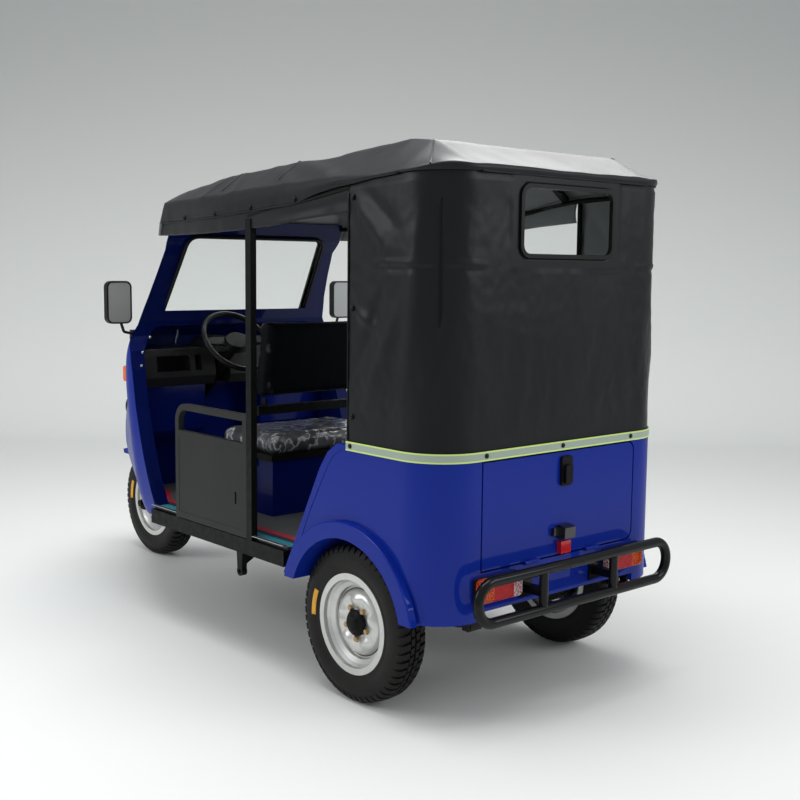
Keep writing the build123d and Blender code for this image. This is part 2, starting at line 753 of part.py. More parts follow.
lamp_front = 126
lens_radius = lamp_radius - 8 - seat_gap
with BuildPart() as headlamp:
    with BuildSketch(Plane(origin=(lamp_x, front_axle_y + lamp_front, lamp_z), x_dir=(1, 0, 0), z_dir=(0, 0, 1))):
        with BuildLine():
            Polyline((0, 6), (lamp_radius - 8, 6), (lamp_radius - 8, 0), (lamp_radius, 0), (lamp_radius, 150),
                     (40, 190), (0, 190), close=True)
        make_face()
    revolve(axis=Axis((lamp_x, front_axle_y, lamp_z), (0, 1, 0)))
with BuildPart() as headlamp_lens:
    with BuildSketch(Plane(origin=(lamp_x, front_axle_y + lamp_front, lamp_z), x_dir=(1, 0, 0), z_dir=(0, 0, 1))):
        with BuildLine():
            Polyline((0, 5.7), (lens_radius, 5.7), (lens_radius, 0), (lens_radius * 0.9, -4.5),
                     (lens_radius * 0.75, -8.5), (lens_radius * 0.5, -12.5), (lens_radius * 0.25, -14.5), (0, -15),
                     close=True)
        make_face()
    revolve(axis=Axis((lamp_x, front_axle_y, lamp_z), (0, 1, 0)))
save(both_sides(headlamp.part), "headlamp_shells")
save(both_sides(headlamp_lens.part), "headlamp_lenses")

# Wiper, parked low on the windscreen
with BuildPart() as wiper:
    with BuildSketch(screen_plane.offset(glass_thickness / 2 + seat_gap)):
        with Locations((-250, -186)):
            Rectangle(188, 9)
    extrude(amount=11)
    with BuildSketch(screen_plane.offset(rubber_depth / 2 + seat_gap)):
        with BuildLine():
            Polyline((-124, -252), (-136, -246), (-246, -180), (-254, -188), close=True)
        make_face()
    extrude(amount=5)
    with BuildSketch(screen_plane.offset(-10)):
        with Locations((-130, -249)):
            Circle(11)
    extrude(amount=30)
save(wiper.part - cab_solid, "wiper")


# Rear body: a tub with rounded rear corners, wheel houses and flared arches
body_front = [(-349, body_bottom), (-142, 771), (-100, 830), (-50, body_top)]


def plan_prism(inset, low, high, front=-400):
    """A prism over the body's plan, drawn in by a wall's thickness."""
    with BuildPart() as made:
        with BuildSketch(flat_plane(low)) as drawn:
            half = body_half_width - inset
            with Locations((0, (front + body_back - inset) / 2)):
                Rectangle(2 * half, body_back - inset - front)
            fillet(drawn.vertices().sort_by(Axis.Y)[-2:], corner_radius - inset)
        extrude(amount=high - low)
    return made.part


def body_side(shift):
    """Everything behind the body's slanted front edge."""
    front = [(y + shift, z) for y, z in body_front]
    slope = (front[1][0] - front[0][0]) / (front[1][1] - front[0][1])
    drop = body_bottom - corner_bottom + 6
    front[0] = (front[0][0] - slope * drop, body_bottom - drop)
    return side_prism(front + [(600, body_top), (600, corner_bottom - 6)], -700, 700)


def arch(radius, x0, x1):
    """A disc about the wheel arch's centre line."""
    return tube(radius, (x0, rear_axle_y + arch_centre_y, arch_centre_z), (x1, rear_axle_y + arch_centre_y, arch_centre_z))


arch_sheet = 6
stop_lap = 20
body_inner = body_half_width - body_wall
house_wall = house_inner + arch_sheet
below_body = (
    block(-700, 700, -600, 0, -200, body_bottom)
    + block(-700, 700, 0, 600, -200, corner_bottom)
    + block(-rear_panel_half, rear_panel_half, body_back - 60, 600, -200, body_bottom))
body_hollow = (
    (plan_prism(body_wall, corner_bottom - 10, body_top + 10) & body_side(body_wall))
    + block(-body_inner + return_width, body_inner - return_width, -500, 0, body_bottom - 10, body_top + 10))
wheel_house = arch(arch_radius + arch_sheet, house_inner, body_inner) - arch(arch_radius, house_wall, body_inner)
flare = arch(arch_radius + flare_width, body_half_width - 2, body_half_width + flare_stand)
flare = fillet(flare.edges().filter_by(GeomType.CIRCLE).sort_by(Axis.X)[-1:], 5)
gate_corner = 30


def gate_block(grow, y0, y1):
    """A block over the tailgate's outline, its two lower corners rounded, grown on all sides."""
    half = gate_half_width + grow
    with BuildPart() as made:
        with BuildSketch(cross_plane(y1)):
            with BuildLine():
                Polyline((-half, gate_bottom - grow), (half, gate_bottom - grow), (half, gate_top + grow),
                         (-half, gate_top + grow), close=True)
            face = make_face()
            fillet(face.vertices().sort_by(Axis.Z)[:2], gate_corner + grow)
        extrude(amount=y1 - y0)
    return made.part


gate_room = gate_block(gate_seam, body_back - body_wall - moving_gap, 600)
gate_frame = (
    block(-gate_half_width - 30, gate_half_width + 30, body_back - body_wall - 14, body_back - body_wall,
          gate_bottom - 24, body_top - 1)
    - block(-gate_half_width + stop_lap, gate_half_width - stop_lap, 0, 600, gate_bottom + stop_lap, gate_top - 6)
    - gate_room)
rear_body = (plan_prism(0, corner_bottom, body_top) & body_side(0)) - body_hollow
rear_body = rear_body + both_sides(flare)
rear_body = rear_body - both_sides(arch(arch_radius, house_wall, 700)) + both_sides(wheel_house) + gate_frame
rear_body = rear_body - gate_room
rear_body = rear_body - below_body

# Tailgate, hinged along its bottom edge, with its toggle latch, lamp and reflector
hinge_y = body_back + 7
hinge_z = gate_bottom - 3
hinge_radius = 6
pin_radius = 3
tailgate_part = gate_block(0, body_back - body_wall, body_back)
hinge_x = (-150, 150)
for x in hinge_x:
    axis_start = (x - 34, rear_axle_y + hinge_y, hinge_z)
    axis_end = (x - 1, rear_axle_y + hinge_y, hinge_z)
    fixed = tube(hinge_radius, (x, rear_axle_y + hinge_y, hinge_z), (x + 32, rear_axle_y + hinge_y, hinge_z))
    fixed = fixed + block(x, x + 32, body_back, hinge_y, hinge_z - hinge_radius, hinge_z - 2)
    fixed = fixed - tube(pin_radius + bearing_gap, axis_start, (x + 40, rear_axle_y + hinge_y, hinge_z))
    leaf = tube(hinge_radius, axis_start, axis_end)
    leaf = leaf + tube(pin_radius, axis_start, (x + 31, rear_axle_y + hinge_y, hinge_z))
    leaf = leaf + block(x - 34, x - 1, body_back, hinge_y, hinge_z + 3, hinge_z + hinge_radius)
    tailgate_part = tailgate_part + leaf
    rear_body = rear_body + fixed
save(tailgate_part, "tailgate")
save(rear_body, "rear_body")

with BuildPart() as gate_latch:
    with BuildSketch(cross_plane(body_back)):
        with Locations((-12, 780)):
            RectangleRounded(52, 98, 10)
    extrude(amount=-10)
    with BuildSketch(cross_plane(body_back + 10)):
        with Locations((-12, 770)):
            RectangleRounded(34, 62, 8)
    extrude(amount=-11)
save(gate_latch.part, "gate_latch")

lamp_outline = [(body_back, 556), (body_back + 34, 560), (body_back + 36, 596), (body_back + 12, 602), (body_back, 602)]
with BuildPart() as gate_lamp:
    add(side_prism(lamp_outline, -32, 20))
    add(block(20, 50, body_back, body_back + 14, 570, 596))
    add(block(-30, 18, body_back, body_back + 18, gate_bottom + 4, 548))
save(gate_lamp.part, "gate_lamp")

# Tail lamps on the lower rear corners
with BuildPart() as tail_lamp_base:
    add(block(216, 408, body_back - 12, body_back + 10, 404, 484))
with BuildPart() as tail_lamp_lens:
    with BuildSketch(cross_plane(body_back + 10)):
        with Locations(((212 + 404) / 2, 445)):
            RectangleRounded(404 - 212, 76, 16)
    extrude(amount=-22)
    fillet(tail_lamp_lens.faces().sort_by(Axis.Y)[-1].edges(), 7)
body_block = plan_prism(-seat_gap, corner_bottom, body_top)
save(both_sides(tail_lamp_base.part - body_block), "tail_lamp_bases")
save(both_sides(tail_lamp_lens.part), "tail_lamp_lenses")

# Rear bumper: a tube loop with two uprights and two brackets to the body
bumper_bend = (bumper_high - bumper_low) / 2 - 0.5
upright_x = 174
bumper_line = rear_axle_y + bumper_y
corners = [(0, bumper_high), (bumper_half - bumper_tube, bumper_high), (bumper_half - bumper_tube, bumper_low), (0, bumper_low)]
half_loop = bent_tube(bumper_tube, [(x, bumper_line, z) for x, z in corners], bumper_bend)
rear_bumper = both_sides(half_loop)
upright = tube(bumper_tube - 2, (upright_x, bumper_line, bumper_low), (upright_x, bumper_line, bumper_high))
bracket = block(upright_x - 14, upright_x + 14, body_back, bumper_y, 408, 434)
bracket = bracket + block(upright_x - 30, upright_x + 26, body_back, body_back + 6, 390, 460)
rear_bumper = rear_bumper + both_sides(upright + bracket)
save(rear_bumper, "rear_bumper")

# Seats: the driver's bench with its back, and the passengers' bench over a battery box
seat_front, seat_back = 1007, 1404
seat_half = 300
seat_top, seat_low, pan_low = 776, 700, 676
driver_seat_base = (
    block(-seat_half + 12, seat_half - 12, seat_front + 18, seat_back - 18, floor_top + seat_gap, pan_low, front_axle_y)
    - block(-seat_half + 20, seat_half - 20, seat_front + 26, seat_back - 26, 0, pan_low - 8, front_axle_y))
side_plate = [(1238, 640), (1262, 640), (1262, 848), (1324, 852), (1324, 889), (1238, 889)]
seat_frame = (
    block(-seat_half - 2, seat_half + 2, seat_front + 3, seat_back - 4, pan_low + seat_gap, seat_low - seat_gap, front_axle_y)
    + block(-seat_half - 2, seat_half + 2, 1288, 1322, 853, 887, front_axle_y)
    + both_sides(side_prism(side_plate, seat_half + 2, seat_half + 10, front_axle_y))
    + both_sides(block(seat_half - 34, seat_half - 26, 1290, 1318, 887, 917, front_axle_y)))
with BuildPart() as driver_cushion:
    add(block(-seat_half, seat_half, seat_front, seat_back, seat_low, seat_top, front_axle_y))
    fillet(driver_cushion.edges().filter_by(Axis.Z), 40)
    fillet(driver_cushion.faces().sort_by(Axis.Z)[-1].edges(), 14)
back_outline = [(1240, 917.3), (1322, 917.3), (1371, 1225), (1290, 1232)]
with BuildPart() as driver_backrest:
    add(side_prism(back_outline, -seat_half, seat_half, front_axle_y))
    fillet(driver_backrest.edges().filter_by(Axis.X).sort_by(Axis.Z)[-2:], 20)

bench_front = -170
bench_half = house_inner - 8
bench_top = 668
bench_sheet = 12
rear_bench_base = (
    block(-bench_half, bench_half, bench_front, 395, bench_top - bench_sheet, bench_top)
    + block(-bench_half, bench_half, bench_front, bench_front + bench_sheet, floor_top + seat_gap, bench_top)
    + both_sides(block(bench_half - bench_sheet, bench_half, bench_front, 240, floor_top + seat_gap, bench_top)))
save(driver_seat_base, "driver_seat_base")
save(seat_frame, "driver_seat_frame")
save(rear_bench_base, "rear_bench_base")
with BuildPart() as rear_cushion:
    add(block(-515, 515, bench_front - 18, 240, bench_top + seat_gap, 750))
    fillet(rear_cushion.edges().filter_by(Axis.Z), 30)
    fillet(rear_cushion.faces().sort_by(Axis.Z)[-1].edges(), 16)
save(driver_cushion.part + rear_cushion.part, "seat_cushions")
rear_back_outline = [(246, bench_top + seat_gap), (332, bench_top + seat_gap), (374, 1175), (292, 1182)]
with BuildPart() as rear_backrest:
    add(side_prism(rear_back_outline, -480, 480))
    fillet(rear_backrest.edges().filter_by(Axis.X).sort_by(Axis.Z)[-2:], 24)
save(driver_backrest.part + rear_backrest.part, "seat_backrests")
save(block(-330, 330, -120, 180, floor_top + seat_gap, 600), "battery_box")
save(floor_mat - block(-seat_half + 11, seat_half - 11, seat_front + 17, seat_back - 17, 0, 600, front_axle_y)
     - block(-bench_half - 1, bench_half + 1, bench_front - 1, 500, 0, 600), "floor_mat")

# Door pillars and the fixed side guards welded to them
with BuildPart() as door_pillars:
    add(block(body_half_width - pillar_width, body_half_width, pillar_y - pillar_depth / 2, pillar_y + pillar_depth / 2,
              sill_top + seat_gap, pillar_top))
save(both_sides(door_pillars.part), "door_pillars")

guard_tube = 25
guard_low, guard_high = 450, 904
guard_front = -1077
guard_back = pillar_y - pillar_depth / 2 - seat_gap
guard_bar = (774, 797)
side_guard_x = body_half_width - pillar_width
with BuildPart() as side_guard:
    with BuildSketch(side_plane(side_guard_x)) as drawn:
        with Locations(((guard_front + guard_back) / 2, (guard_low + guard_high) / 2)):
            Rectangle(guard_back - guard_front, guard_high - guard_low)
        fillet(drawn.vertices().group_by(Axis.X)[0].sort_by(Axis.Y)[-1], 70)
    extrude(amount=guard_tube)
    with BuildSketch(side_plane(side_guard_x)) as upper:
        with Locations(((guard_front + guard_back) / 2, (guard_bar[1] + guard_high - guard_tube) / 2)):
            Rectangle(guard_back - guard_front - 2 * guard_tube, guard_high - guard_tube - guard_bar[1])
        fillet(upper.vertices().group_by(Axis.X)[0].sort_by(Axis.Y)[-1], 45)
        with Locations(((guard_front + guard_back) / 2, (guard_bar[0] + guard_low + guard_tube) / 2)):
            Rectangle(guard_back - guard_front - 2 * guard_tube, guard_bar[0] - guard_low - guard_tube)
    extrude(amount=guard_tube, mode=Mode.SUBTRACT)
    add(block(side_guard_x + guard_tube - 8, side_guard_x + guard_tube - 1, guard_front + guard_tube,
              guard_back - guard_tube, guard_low + guard_tube, guard_bar[0]))
    add(block(side_guard_x + guard_tube - 9, side_guard_x + guard_tube, -658, -646, 566, 612), mode=Mode.SUBTRACT)
    add(block(side_guard_x, side_guard_x + guard_tube, guard_front, guard_front + guard_tube, sill_top + seat_gap, guard_low))
save(both_sides(side_guard.part), "side_guards")

# Roof canopy: cross sections from the front edge to the rear eave
#   station, half width of the top, height of the top, half width at the eave, height of the eave
canopy_sections = (
    (-1420, 386, 1672, 448, 1640),
    (-900, 428, 1757, 542, 1668),
    (-592, 428, 1776, 580, 1679),
    (-540, 428, 1779, 580, 1681),
    (-50, 428, 1806, 570, 1710),
    (150, 428, 1832, body_half_width, 1722),
    (259, 428, 1820, body_half_width, 1728),
    (body_back, 428, 1744, body_half_width, 1736),
)
canopy_low = [(-1500, 1556), (-592, 1556), (-420, 1575), (-241, 1630), (-90, 1682), (0, curtain_top_front),
              (600, curtain_top_front + (curtain_top_back - curtain_top_front) * 600 / body_back)]
canopy_front = [(-1354, 1556), (-1273, 1690)]
header_half, header_z = 410, 1598


def canopy_form(inset):
    """The canopy's whole form, open below, or a copy of it drawn in."""
    faces = []
    for station, top_half, top_z, eave_half, eave_z in canopy_sections:
        half = [(eave_half - inset, 1450), (eave_half - inset, eave_z - inset * 0.6), (top_half - inset * 0.3, top_z - inset)]
        with BuildSketch(cross_plane(station)) as drawn:
            with BuildLine():
                Polyline(*half, *[(-x, z) for x, z in reversed(half)], close=True)
            make_face()
        faces.append(drawn.sketch.face())
    with BuildPart() as made:
        loft(faces, ruled=True)
    return made.part


def before_front(shift):
    """Everything in front of the canopy's raked front edge."""
    (y0, z0), (y1, z1) = canopy_front
    slope = (y1 - y0) / (z1 - z0)
    low, high = z0 - 200, z1 + 300
    return side_prism([(y0 + slope * (low - z0) + shift, low), (y0 + slope * (high - z0) + shift, high),
                       (-2200, high), (-2200, low)], -700, 700)


below_canopy = side_prism(
    [(y, z + seat_gap) for y, z in canopy_low] + [(600, 1200), (-1500, 1200)], -700, 700)
canopy_plan = plan_prism(0, 1400, 1900, -1500) + block(-700, 700, -1500, 100, 1400, 1900)
canopy_room = (canopy_form(canopy_wall) & plan_prism(curtain_wall, 1400, 1900, -1500)
               ) + (canopy_form(canopy_wall) & block(-700, 700, -1500, 0, 1400, 1900))
canopy_outer = (canopy_form(0) & canopy_plan) - before_front(0) - below_canopy
roof_canopy = canopy_outer - (canopy_room - before_front(canopy_wall))
roof_canopy = roof_canopy - block(-header_half, header_half, -1420, -1290, 1400, header_z)
save(roof_canopy, "roof_canopy")

# Roof rails and bows under the canopy, and the posts that carry them
rail_radius = 9
rail_at_pillar = pillar_top + rail_radius + seat_gap
rail_route = [
    (435, -1300, 1606), (554, pillar_y, rail_at_pillar), (546, 0, 1692), (546, body_back - 19, 1708),
    (0, body_back - 19, 1708)]
rail_points = [(x, rear_axle_y + y, z) for x, y, z in rail_route]
with BuildPart() as rail_half_part:
    with BuildLine() as route:
        FilletPolyline(*rail_points, radius=[150, 150, corner_radius - 19])
    with BuildSketch(Plane(origin=route.line @ 0, z_dir=route.line % 0)):
        Circle(rail_radius)
    sweep(path=route.line)
roof_rails = both_sides(rail_half_part.part) & behind_door(-seat_gap, 3000)
save(roof_rails, "roof_rails")

bow_table = ((-1180, 1608), (pillar_y, rail_at_pillar), (-60, 1686), (262, 1703))
bow_outer = canopy_form(canopy_wall + seat_gap)
bow_inner = canopy_form(canopy_wall + seat_gap + bow_size)
roof_bows = []
for station, foot in bow_table:
    slab = block(-700, 700, station - bow_size / 2, station + bow_size / 2, foot, 1900)
    bow = ((bow_outer & slab) - bow_inner) & plan_prism(curtain_wall + 4, 1400, 1900, -1500)
    roof_bows = roof_bows + [bow - roof_rails]
save(Compound(children=roof_bows), "roof_bows")
curtain_posts = []
for x, y, top in ((546, 14, 1692 - rail_radius), (503, 368, 1706 - rail_radius)):
    post = tube(rail_radius, (x, rear_axle_y + y, body_top + seat_gap), (x, rear_axle_y + y, top - seat_gap))
    curtain_posts = curtain_posts + [both_sides(post - roof_rails)]
save(Compound(children=curtain_posts), "curtain_posts")

# Rear curtain with its window, and the reflective strip over its lower hem
window_half, window_low, window_high = 228, 1470, 1700
window_rubber = 14
above_curtain = side_prism([(-10, canopy_low[-2][1] - 1)] + [canopy_low[-1], (600, 2000), (-10, 2000)], -700, 700)


def window_block(inset, y0, y1):
    """A rounded block over the rear window's outline."""
    with BuildPart() as made:
        with BuildSketch(cross_plane(y1)):
            with Locations((0, (window_low + window_high) / 2)):
                RectangleRounded(2 * (window_half - inset), window_high - window_low - 2 * inset, 42 - inset)
        extrude(amount=y1 - y0)
    return made.part


rear_curtain = (plan_prism(0, body_top + seat_gap, 1800, 0) - plan_prism(curtain_wall, body_top, 1800, -10)
                - above_curtain - window_block(0, 300, 500))
save(rear_curtain, "rear_curtain")
window_rubber_part = (window_block(0, body_back - curtain_wall - 4, body_back + 5)
                      - window_block(window_rubber, 300, 500))
window_pane = window_block(window_rubber + seat_gap, body_back - 5, body_back - 2)
save(screen_rubber + window_rubber_part, "window_rubbers")
save(screen_slab(rubber_width + seat_gap, glass_thickness) + window_pane, "window_panes")

strip_low, strip_high = 849, 879
strip = plan_prism(-3, strip_low, strip_high, 0) - plan_prism(-seat_gap, strip_low - 1, strip_high + 1, -10)
save(strip, "reflective_strip")
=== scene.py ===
# %% [markdown]
# # A passenger motor tricycle
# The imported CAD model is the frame. This script dresses it: materials first, then the soft top,
# the seats, the tyres and the small fittings, each in its own cell. Everything is in metres, in the
# row frame: +X is the vehicle's left, -Y its front, Z is up from the ground.

# %%
import bpy
import bmesh
import math
import numpy as np
from mathutils import Vector, Matrix, noise


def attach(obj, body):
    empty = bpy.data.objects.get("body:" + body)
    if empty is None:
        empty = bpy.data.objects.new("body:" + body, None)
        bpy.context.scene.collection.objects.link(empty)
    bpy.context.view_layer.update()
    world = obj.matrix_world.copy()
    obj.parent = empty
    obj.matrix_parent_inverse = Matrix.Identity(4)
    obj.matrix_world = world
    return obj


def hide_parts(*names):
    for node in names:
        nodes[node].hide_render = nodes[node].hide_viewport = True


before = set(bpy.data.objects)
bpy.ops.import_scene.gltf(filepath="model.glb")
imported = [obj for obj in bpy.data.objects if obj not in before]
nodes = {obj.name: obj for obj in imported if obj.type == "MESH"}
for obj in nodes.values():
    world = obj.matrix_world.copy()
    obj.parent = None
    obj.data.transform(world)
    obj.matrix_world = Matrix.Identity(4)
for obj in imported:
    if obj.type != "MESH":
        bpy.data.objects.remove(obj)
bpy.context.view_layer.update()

# %% [markdown]
# ## Camera
# The camera's place, heading, pitch and roll come from lines of the photograph that run along the
# vehicle, and its lens from how they meet.

# %%
scene = bpy.context.scene
scene.view_settings.view_transform = "Standard"
camera_place = Vector((2.878118, 3.858443, 1.435256))
look = Vector((-0.65570559, -0.74649076, -0.11314471)).normalized()
roll = math.radians(0.5832)
level_right = look.cross(Vector((0, 0, 1))).normalized()
level_up = level_right.cross(look)
cam_right = level_right * math.cos(roll) + level_up * math.sin(roll)
cam_up = level_up * math.cos(roll) - level_right * math.sin(roll)
camera = bpy.data.objects.new("camera", bpy.data.cameras.new("camera"))
scene.collection.objects.link(camera)
camera.matrix_world = Matrix.LocRotScale(
    camera_place, Matrix((cam_right, cam_up, -look)).transposed(), None)
camera.data.sensor_width = 36
camera.data.lens = 52.10
camera.data.clip_end = 60
scene.camera = camera
print("camera at", [round(v, 3) for v in camera_place])

# %% [markdown]
# ## Wiring materials
# A `Look` is a Principled material with short calls for the nodes that it needs. All patterns use
# object coordinates, which are metres in the row frame.

# %%


class Look:
    """A node material being wired, one small call at a time."""

    def __init__(self, name, color=(0.5, 0.5, 0.5), rough=0.5, metal=0.0, **sockets):
        self.material = bpy.data.materials.new(name)
        self.material.use_nodes = True
        self.tree = self.material.node_tree
        self.shader = self.tree.nodes["Principled BSDF"]
        self.set(self.shader, **{"Base Color": (*color, 1), "Roughness": rough, "Metallic": metal})
        self.set(self.shader, **{k.replace("_", " ").title().replace("Ior", "IOR"): v for k, v in sockets.items()})
        self.place = self.node("ShaderNodeTexCoord").outputs["Object"]

    def set(self, node, **values):
        for key, value in values.items():
            if hasattr(value, "is_output"):
                self.tree.links.new(value, node.inputs[key])
            else:
                node.inputs[key].default_value = value

    def node(self, kind, output=None, **values):
        made = self.tree.nodes.new(kind)
        for key in [k for k in values if hasattr(made, k)]:
            setattr(made, key, values.pop(key))
        self.set(made, **values)
        return made if output is None else made.outputs[output]

    def noise(self, scale, detail=3, rough=0.5, place=None, stretch=None):
        place = place or self.place
        if stretch:
            place = self.node("ShaderNodeMapping", "Vector", Vector=place, Scale=stretch)
        return self.node("ShaderNodeTexNoise", "Fac", Vector=place, Scale=scale, Detail=detail, Roughness=rough)

    def math(self, operation, a, b=0.0):
        made = self.tree.nodes.new("ShaderNodeMath")
        made.operation = operation
        for i, value in enumerate((a, b)):
            if hasattr(value, "is_output"):
                self.tree.links.new(value, made.inputs[i])
            else:
                made.inputs[i].default_value = value
        return made.outputs[0]

    def ramp(self, value, low, high):
        """Value from 0 at low to 1 at high, smooth."""
        made = self.node("ShaderNodeMapRange", interpolation_type="SMOOTHSTEP")
        self.set(made, Value=value, **{"From Min": low, "From Max": high})
        return made.outputs["Result"]

    def mix(self, factor, a, b):
        made = self.node("ShaderNodeMix", data_type="RGBA")
        for i, value in ((0, factor), (6, a), (7, b)):
            if hasattr(value, "is_output"):
                self.tree.links.new(value, made.inputs[i])
            else:
                made.inputs[i].default_value = value if i == 0 else (*value, 1)
        return made.outputs[2]

    def color(self, value):
        self.set(self.shader, **{"Base Color": value})
        return self

    def rough(self, value):
        self.set(self.shader, Roughness=value)
        return self

    def bump(self, height, distance, strength=1.0):
        previous = self.shader.inputs["Normal"].links
        normal = self.node("ShaderNodeBump", "Normal", Height=height, Distance=distance, Strength=strength)
        if previous:
            self.tree.links.new(previous[0].from_socket, normal.node.inputs["Normal"])
        self.set(self.shader, Normal=normal)
        return self

    def axis(self, letter):
        return self.node("ShaderNodeSeparateXYZ", "XYZ"["XYZ".index(letter)], Vector=self.place)


def dress(look, *names, slot=None):
    """Gives CAD nodes one material."""
    for name in names:
        mesh = nodes[name].data
        mesh.materials.clear()
        mesh.materials.append(look.material)


print("wiring ready")

# %% [markdown]
# ## Body paint and frame paint
# The body is clear-coated blue. Its colour comes from the base, and the thin coat carries the sharp
# reflections, so the base's own gloss is kept low. Tubes and frame are black satin paint.

# %%
paint = Look("blue_paint", (0.003, 0.018, 0.25), 0.6, coat_weight=0.32, coat_roughness=0.02, specular_ior_level=0.05)
paint.color(paint.mix(paint.noise(3.0), (0.0022, 0.017, 0.235), (0.0030, 0.020, 0.265)))
paint.bump(paint.noise(260, 2), 0.0005, 0.06)
paint.bump(paint.noise(9, 2), 0.002, 0.06)

# The bulkhead and the driver's seat base are body blue. This darker copy of the blue is painted shade for these
# panels inside the cab.
shaded_inner_paint = Look("shaded_inner_blue_paint", (0.001, 0.010, 0.16), 0.55, coat_weight=0.2, coat_roughness=0.1,
                   specular_ior_level=0.05)
shaded_inner_paint.bump(shaded_inner_paint.noise(220, 2), 0.0006, 0.12)

black_paint = Look("black_paint", (0.0045, 0.0046, 0.005), 0.4, coat_weight=0.06, coat_roughness=0.1,
                   specular_ior_level=0.1)
black_paint.rough(black_paint.ramp(black_paint.noise(30), -0.6, 1.6))
black_paint.bump(black_paint.noise(400, 2), 0.0004, 0.2)

bumper_paint = Look("bumper_paint", (0.003, 0.003, 0.0033), 0.4, coat_weight=0.35, coat_roughness=0.07,
                    specular_ior_level=0.05)
bumper_paint.bump(bumper_paint.noise(240, 2), 0.0005, 0.12)

under_paint = Look("underbody_paint", (0.004, 0.004, 0.004), 0.6, specular_ior_level=0.25)
under_paint.color(under_paint.mix(under_paint.noise(12, 4), (0.003, 0.003, 0.003), (0.010, 0.009, 0.008)))
under_paint.bump(under_paint.noise(160, 3), 0.001, 0.3)

grey_paint = Look("guard_paint", (0.022, 0.023, 0.022), 0.5, specular_ior_level=0.15)
streaks = grey_paint.noise(4, 3, stretch=(1, 1, 0.3))
grey_paint.color(grey_paint.mix(streaks, (0.019, 0.0205, 0.019), (0.029, 0.030, 0.028)))
grey_paint.bump(grey_paint.noise(500, 2), 0.0004, 0.25)

cab_paint = Look("cab_paint", (0.003, 0.018, 0.25), 0.6, coat_weight=0.3, coat_roughness=0.03,
                 specular_ior_level=0.05)
# Faces that look rearwards are painted a darker blue, chosen by the surface's facing: painted shade on the same paint
# as the body.
way = cab_paint.node("ShaderNodeSeparateXYZ", "Y", Vector=cab_paint.node("ShaderNodeNewGeometry", "Normal"))
cab_paint.color(cab_paint.mix(cab_paint.ramp(way, 0.25, 0.7), (0.0028, 0.0185, 0.25), (0.0008, 0.006, 0.075)))
cab_paint.bump(cab_paint.noise(260, 2), 0.0005, 0.06)

dress(paint, "rear_body", "tailgate", "mudguard")
dress(cab_paint, "cab_shell")
dress(shaded_inner_paint, "bulkhead", "driver_seat_base")
dress(black_paint, "steering_head", "fork", "driver_seat_frame", "rear_bench_base", "roof_rails", "roof_bows",
      "curtain_posts", "battery_box", "door_pillars", "side_sills", "floor_pan")
dress(under_paint, "chassis_frame", "leaf_springs", "rear_axle")
dress(bumper_paint, "rear_bumper")
dress(grey_paint, "side_guards")
print("paint on", sum(1 for n in nodes.values() if n.data.materials), "nodes")

# %% [markdown]
# ## Wheels, rubber, plastics, lenses and glass

# %%
rim_silver = Look("rim_silver", (0.6, 0.6, 0.58), 0.32, 0.85)
rim_silver.color(rim_silver.mix(rim_silver.noise(30, 4), (0.54, 0.54, 0.52), (0.66, 0.66, 0.64)))
rim_silver.bump(rim_silver.noise(900, 2), 0.0003, 0.3)
brass = Look("zinc_nut", (0.42, 0.27, 0.10), 0.35, 0.85)
brass.color(brass.mix(brass.noise(180, 3), (0.30, 0.17, 0.06), (0.55, 0.42, 0.22)))
brass.bump(brass.noise(300), 0.0004, 0.2)
tyre_rubber = Look("tyre_rubber", (0.010, 0.010, 0.0095), 0.5, specular_ior_level=0.14)
tyre_rubber.color(tyre_rubber.mix(tyre_rubber.noise(14, 4), (0.006, 0.006, 0.0055), (0.017, 0.0165, 0.015)))
tyre_rubber.bump(tyre_rubber.noise(350, 4), 0.0006, 0.4)
steel = Look("bare_steel", (0.30, 0.30, 0.30), 0.4, 0.8)
steel.bump(steel.noise(300), 0.0004, 0.2)
rubber = Look("black_rubber", (0.004, 0.004, 0.004), 0.4, specular_ior_level=0.2)
rubber.bump(rubber.noise(500), 0.0004, 0.3)
plastic = Look("black_plastic", (0.005, 0.005, 0.0055), 0.38, specular_ior_level=0.2)
plastic.bump(plastic.noise(900, 2), 0.0005, 0.3)
dash_look = Look("dash_plastic", (0.009, 0.009, 0.010), 0.45, specular_ior_level=0.35)
dash_look.bump(dash_look.noise(700, 3), 0.0006, 0.5)
chrome = Look("chrome", (0.7, 0.7, 0.7), 0.12, 1.0)
chrome.bump(chrome.noise(60), 0.0005, 0.05)
amber = Look("amber_lens", (0.80, 0.13, 0.008), 0.2, coat_weight=0.5)
amber.bump(amber.noise(300), 0.0005, 0.1)
glass = Look("window_glass", (0.96, 0.985, 0.975), 0.0, transmission_weight=1.0, ior=1.04)
glass.bump(glass.noise(8, 2), 0.0005, 0.02)
lamp_glass = Look("lamp_glass", (0.95, 0.96, 0.96), 0.02, transmission_weight=1.0, ior=1.3)
lamp_glass.bump(lamp_glass.math("SINE", lamp_glass.math("MULTIPLY", lamp_glass.axis("X"), 900.0)), 0.0008, 0.6)
mirror_look = Look("mirror_silver", (0.50, 0.51, 0.50), 0.2, 0.55)
mirror_look.bump(mirror_look.noise(20), 0.0002, 0.02)

red_lens = Look("red_lens", (0.50, 0.004, 0.008), 0.22, coat_weight=0.3, specular_ior_level=0.2)
facet = red_lens.node("ShaderNodeTexVoronoi", "Distance", Vector=red_lens.place, Scale=160.0)
red_lens.bump(facet, 0.001, 0.35)

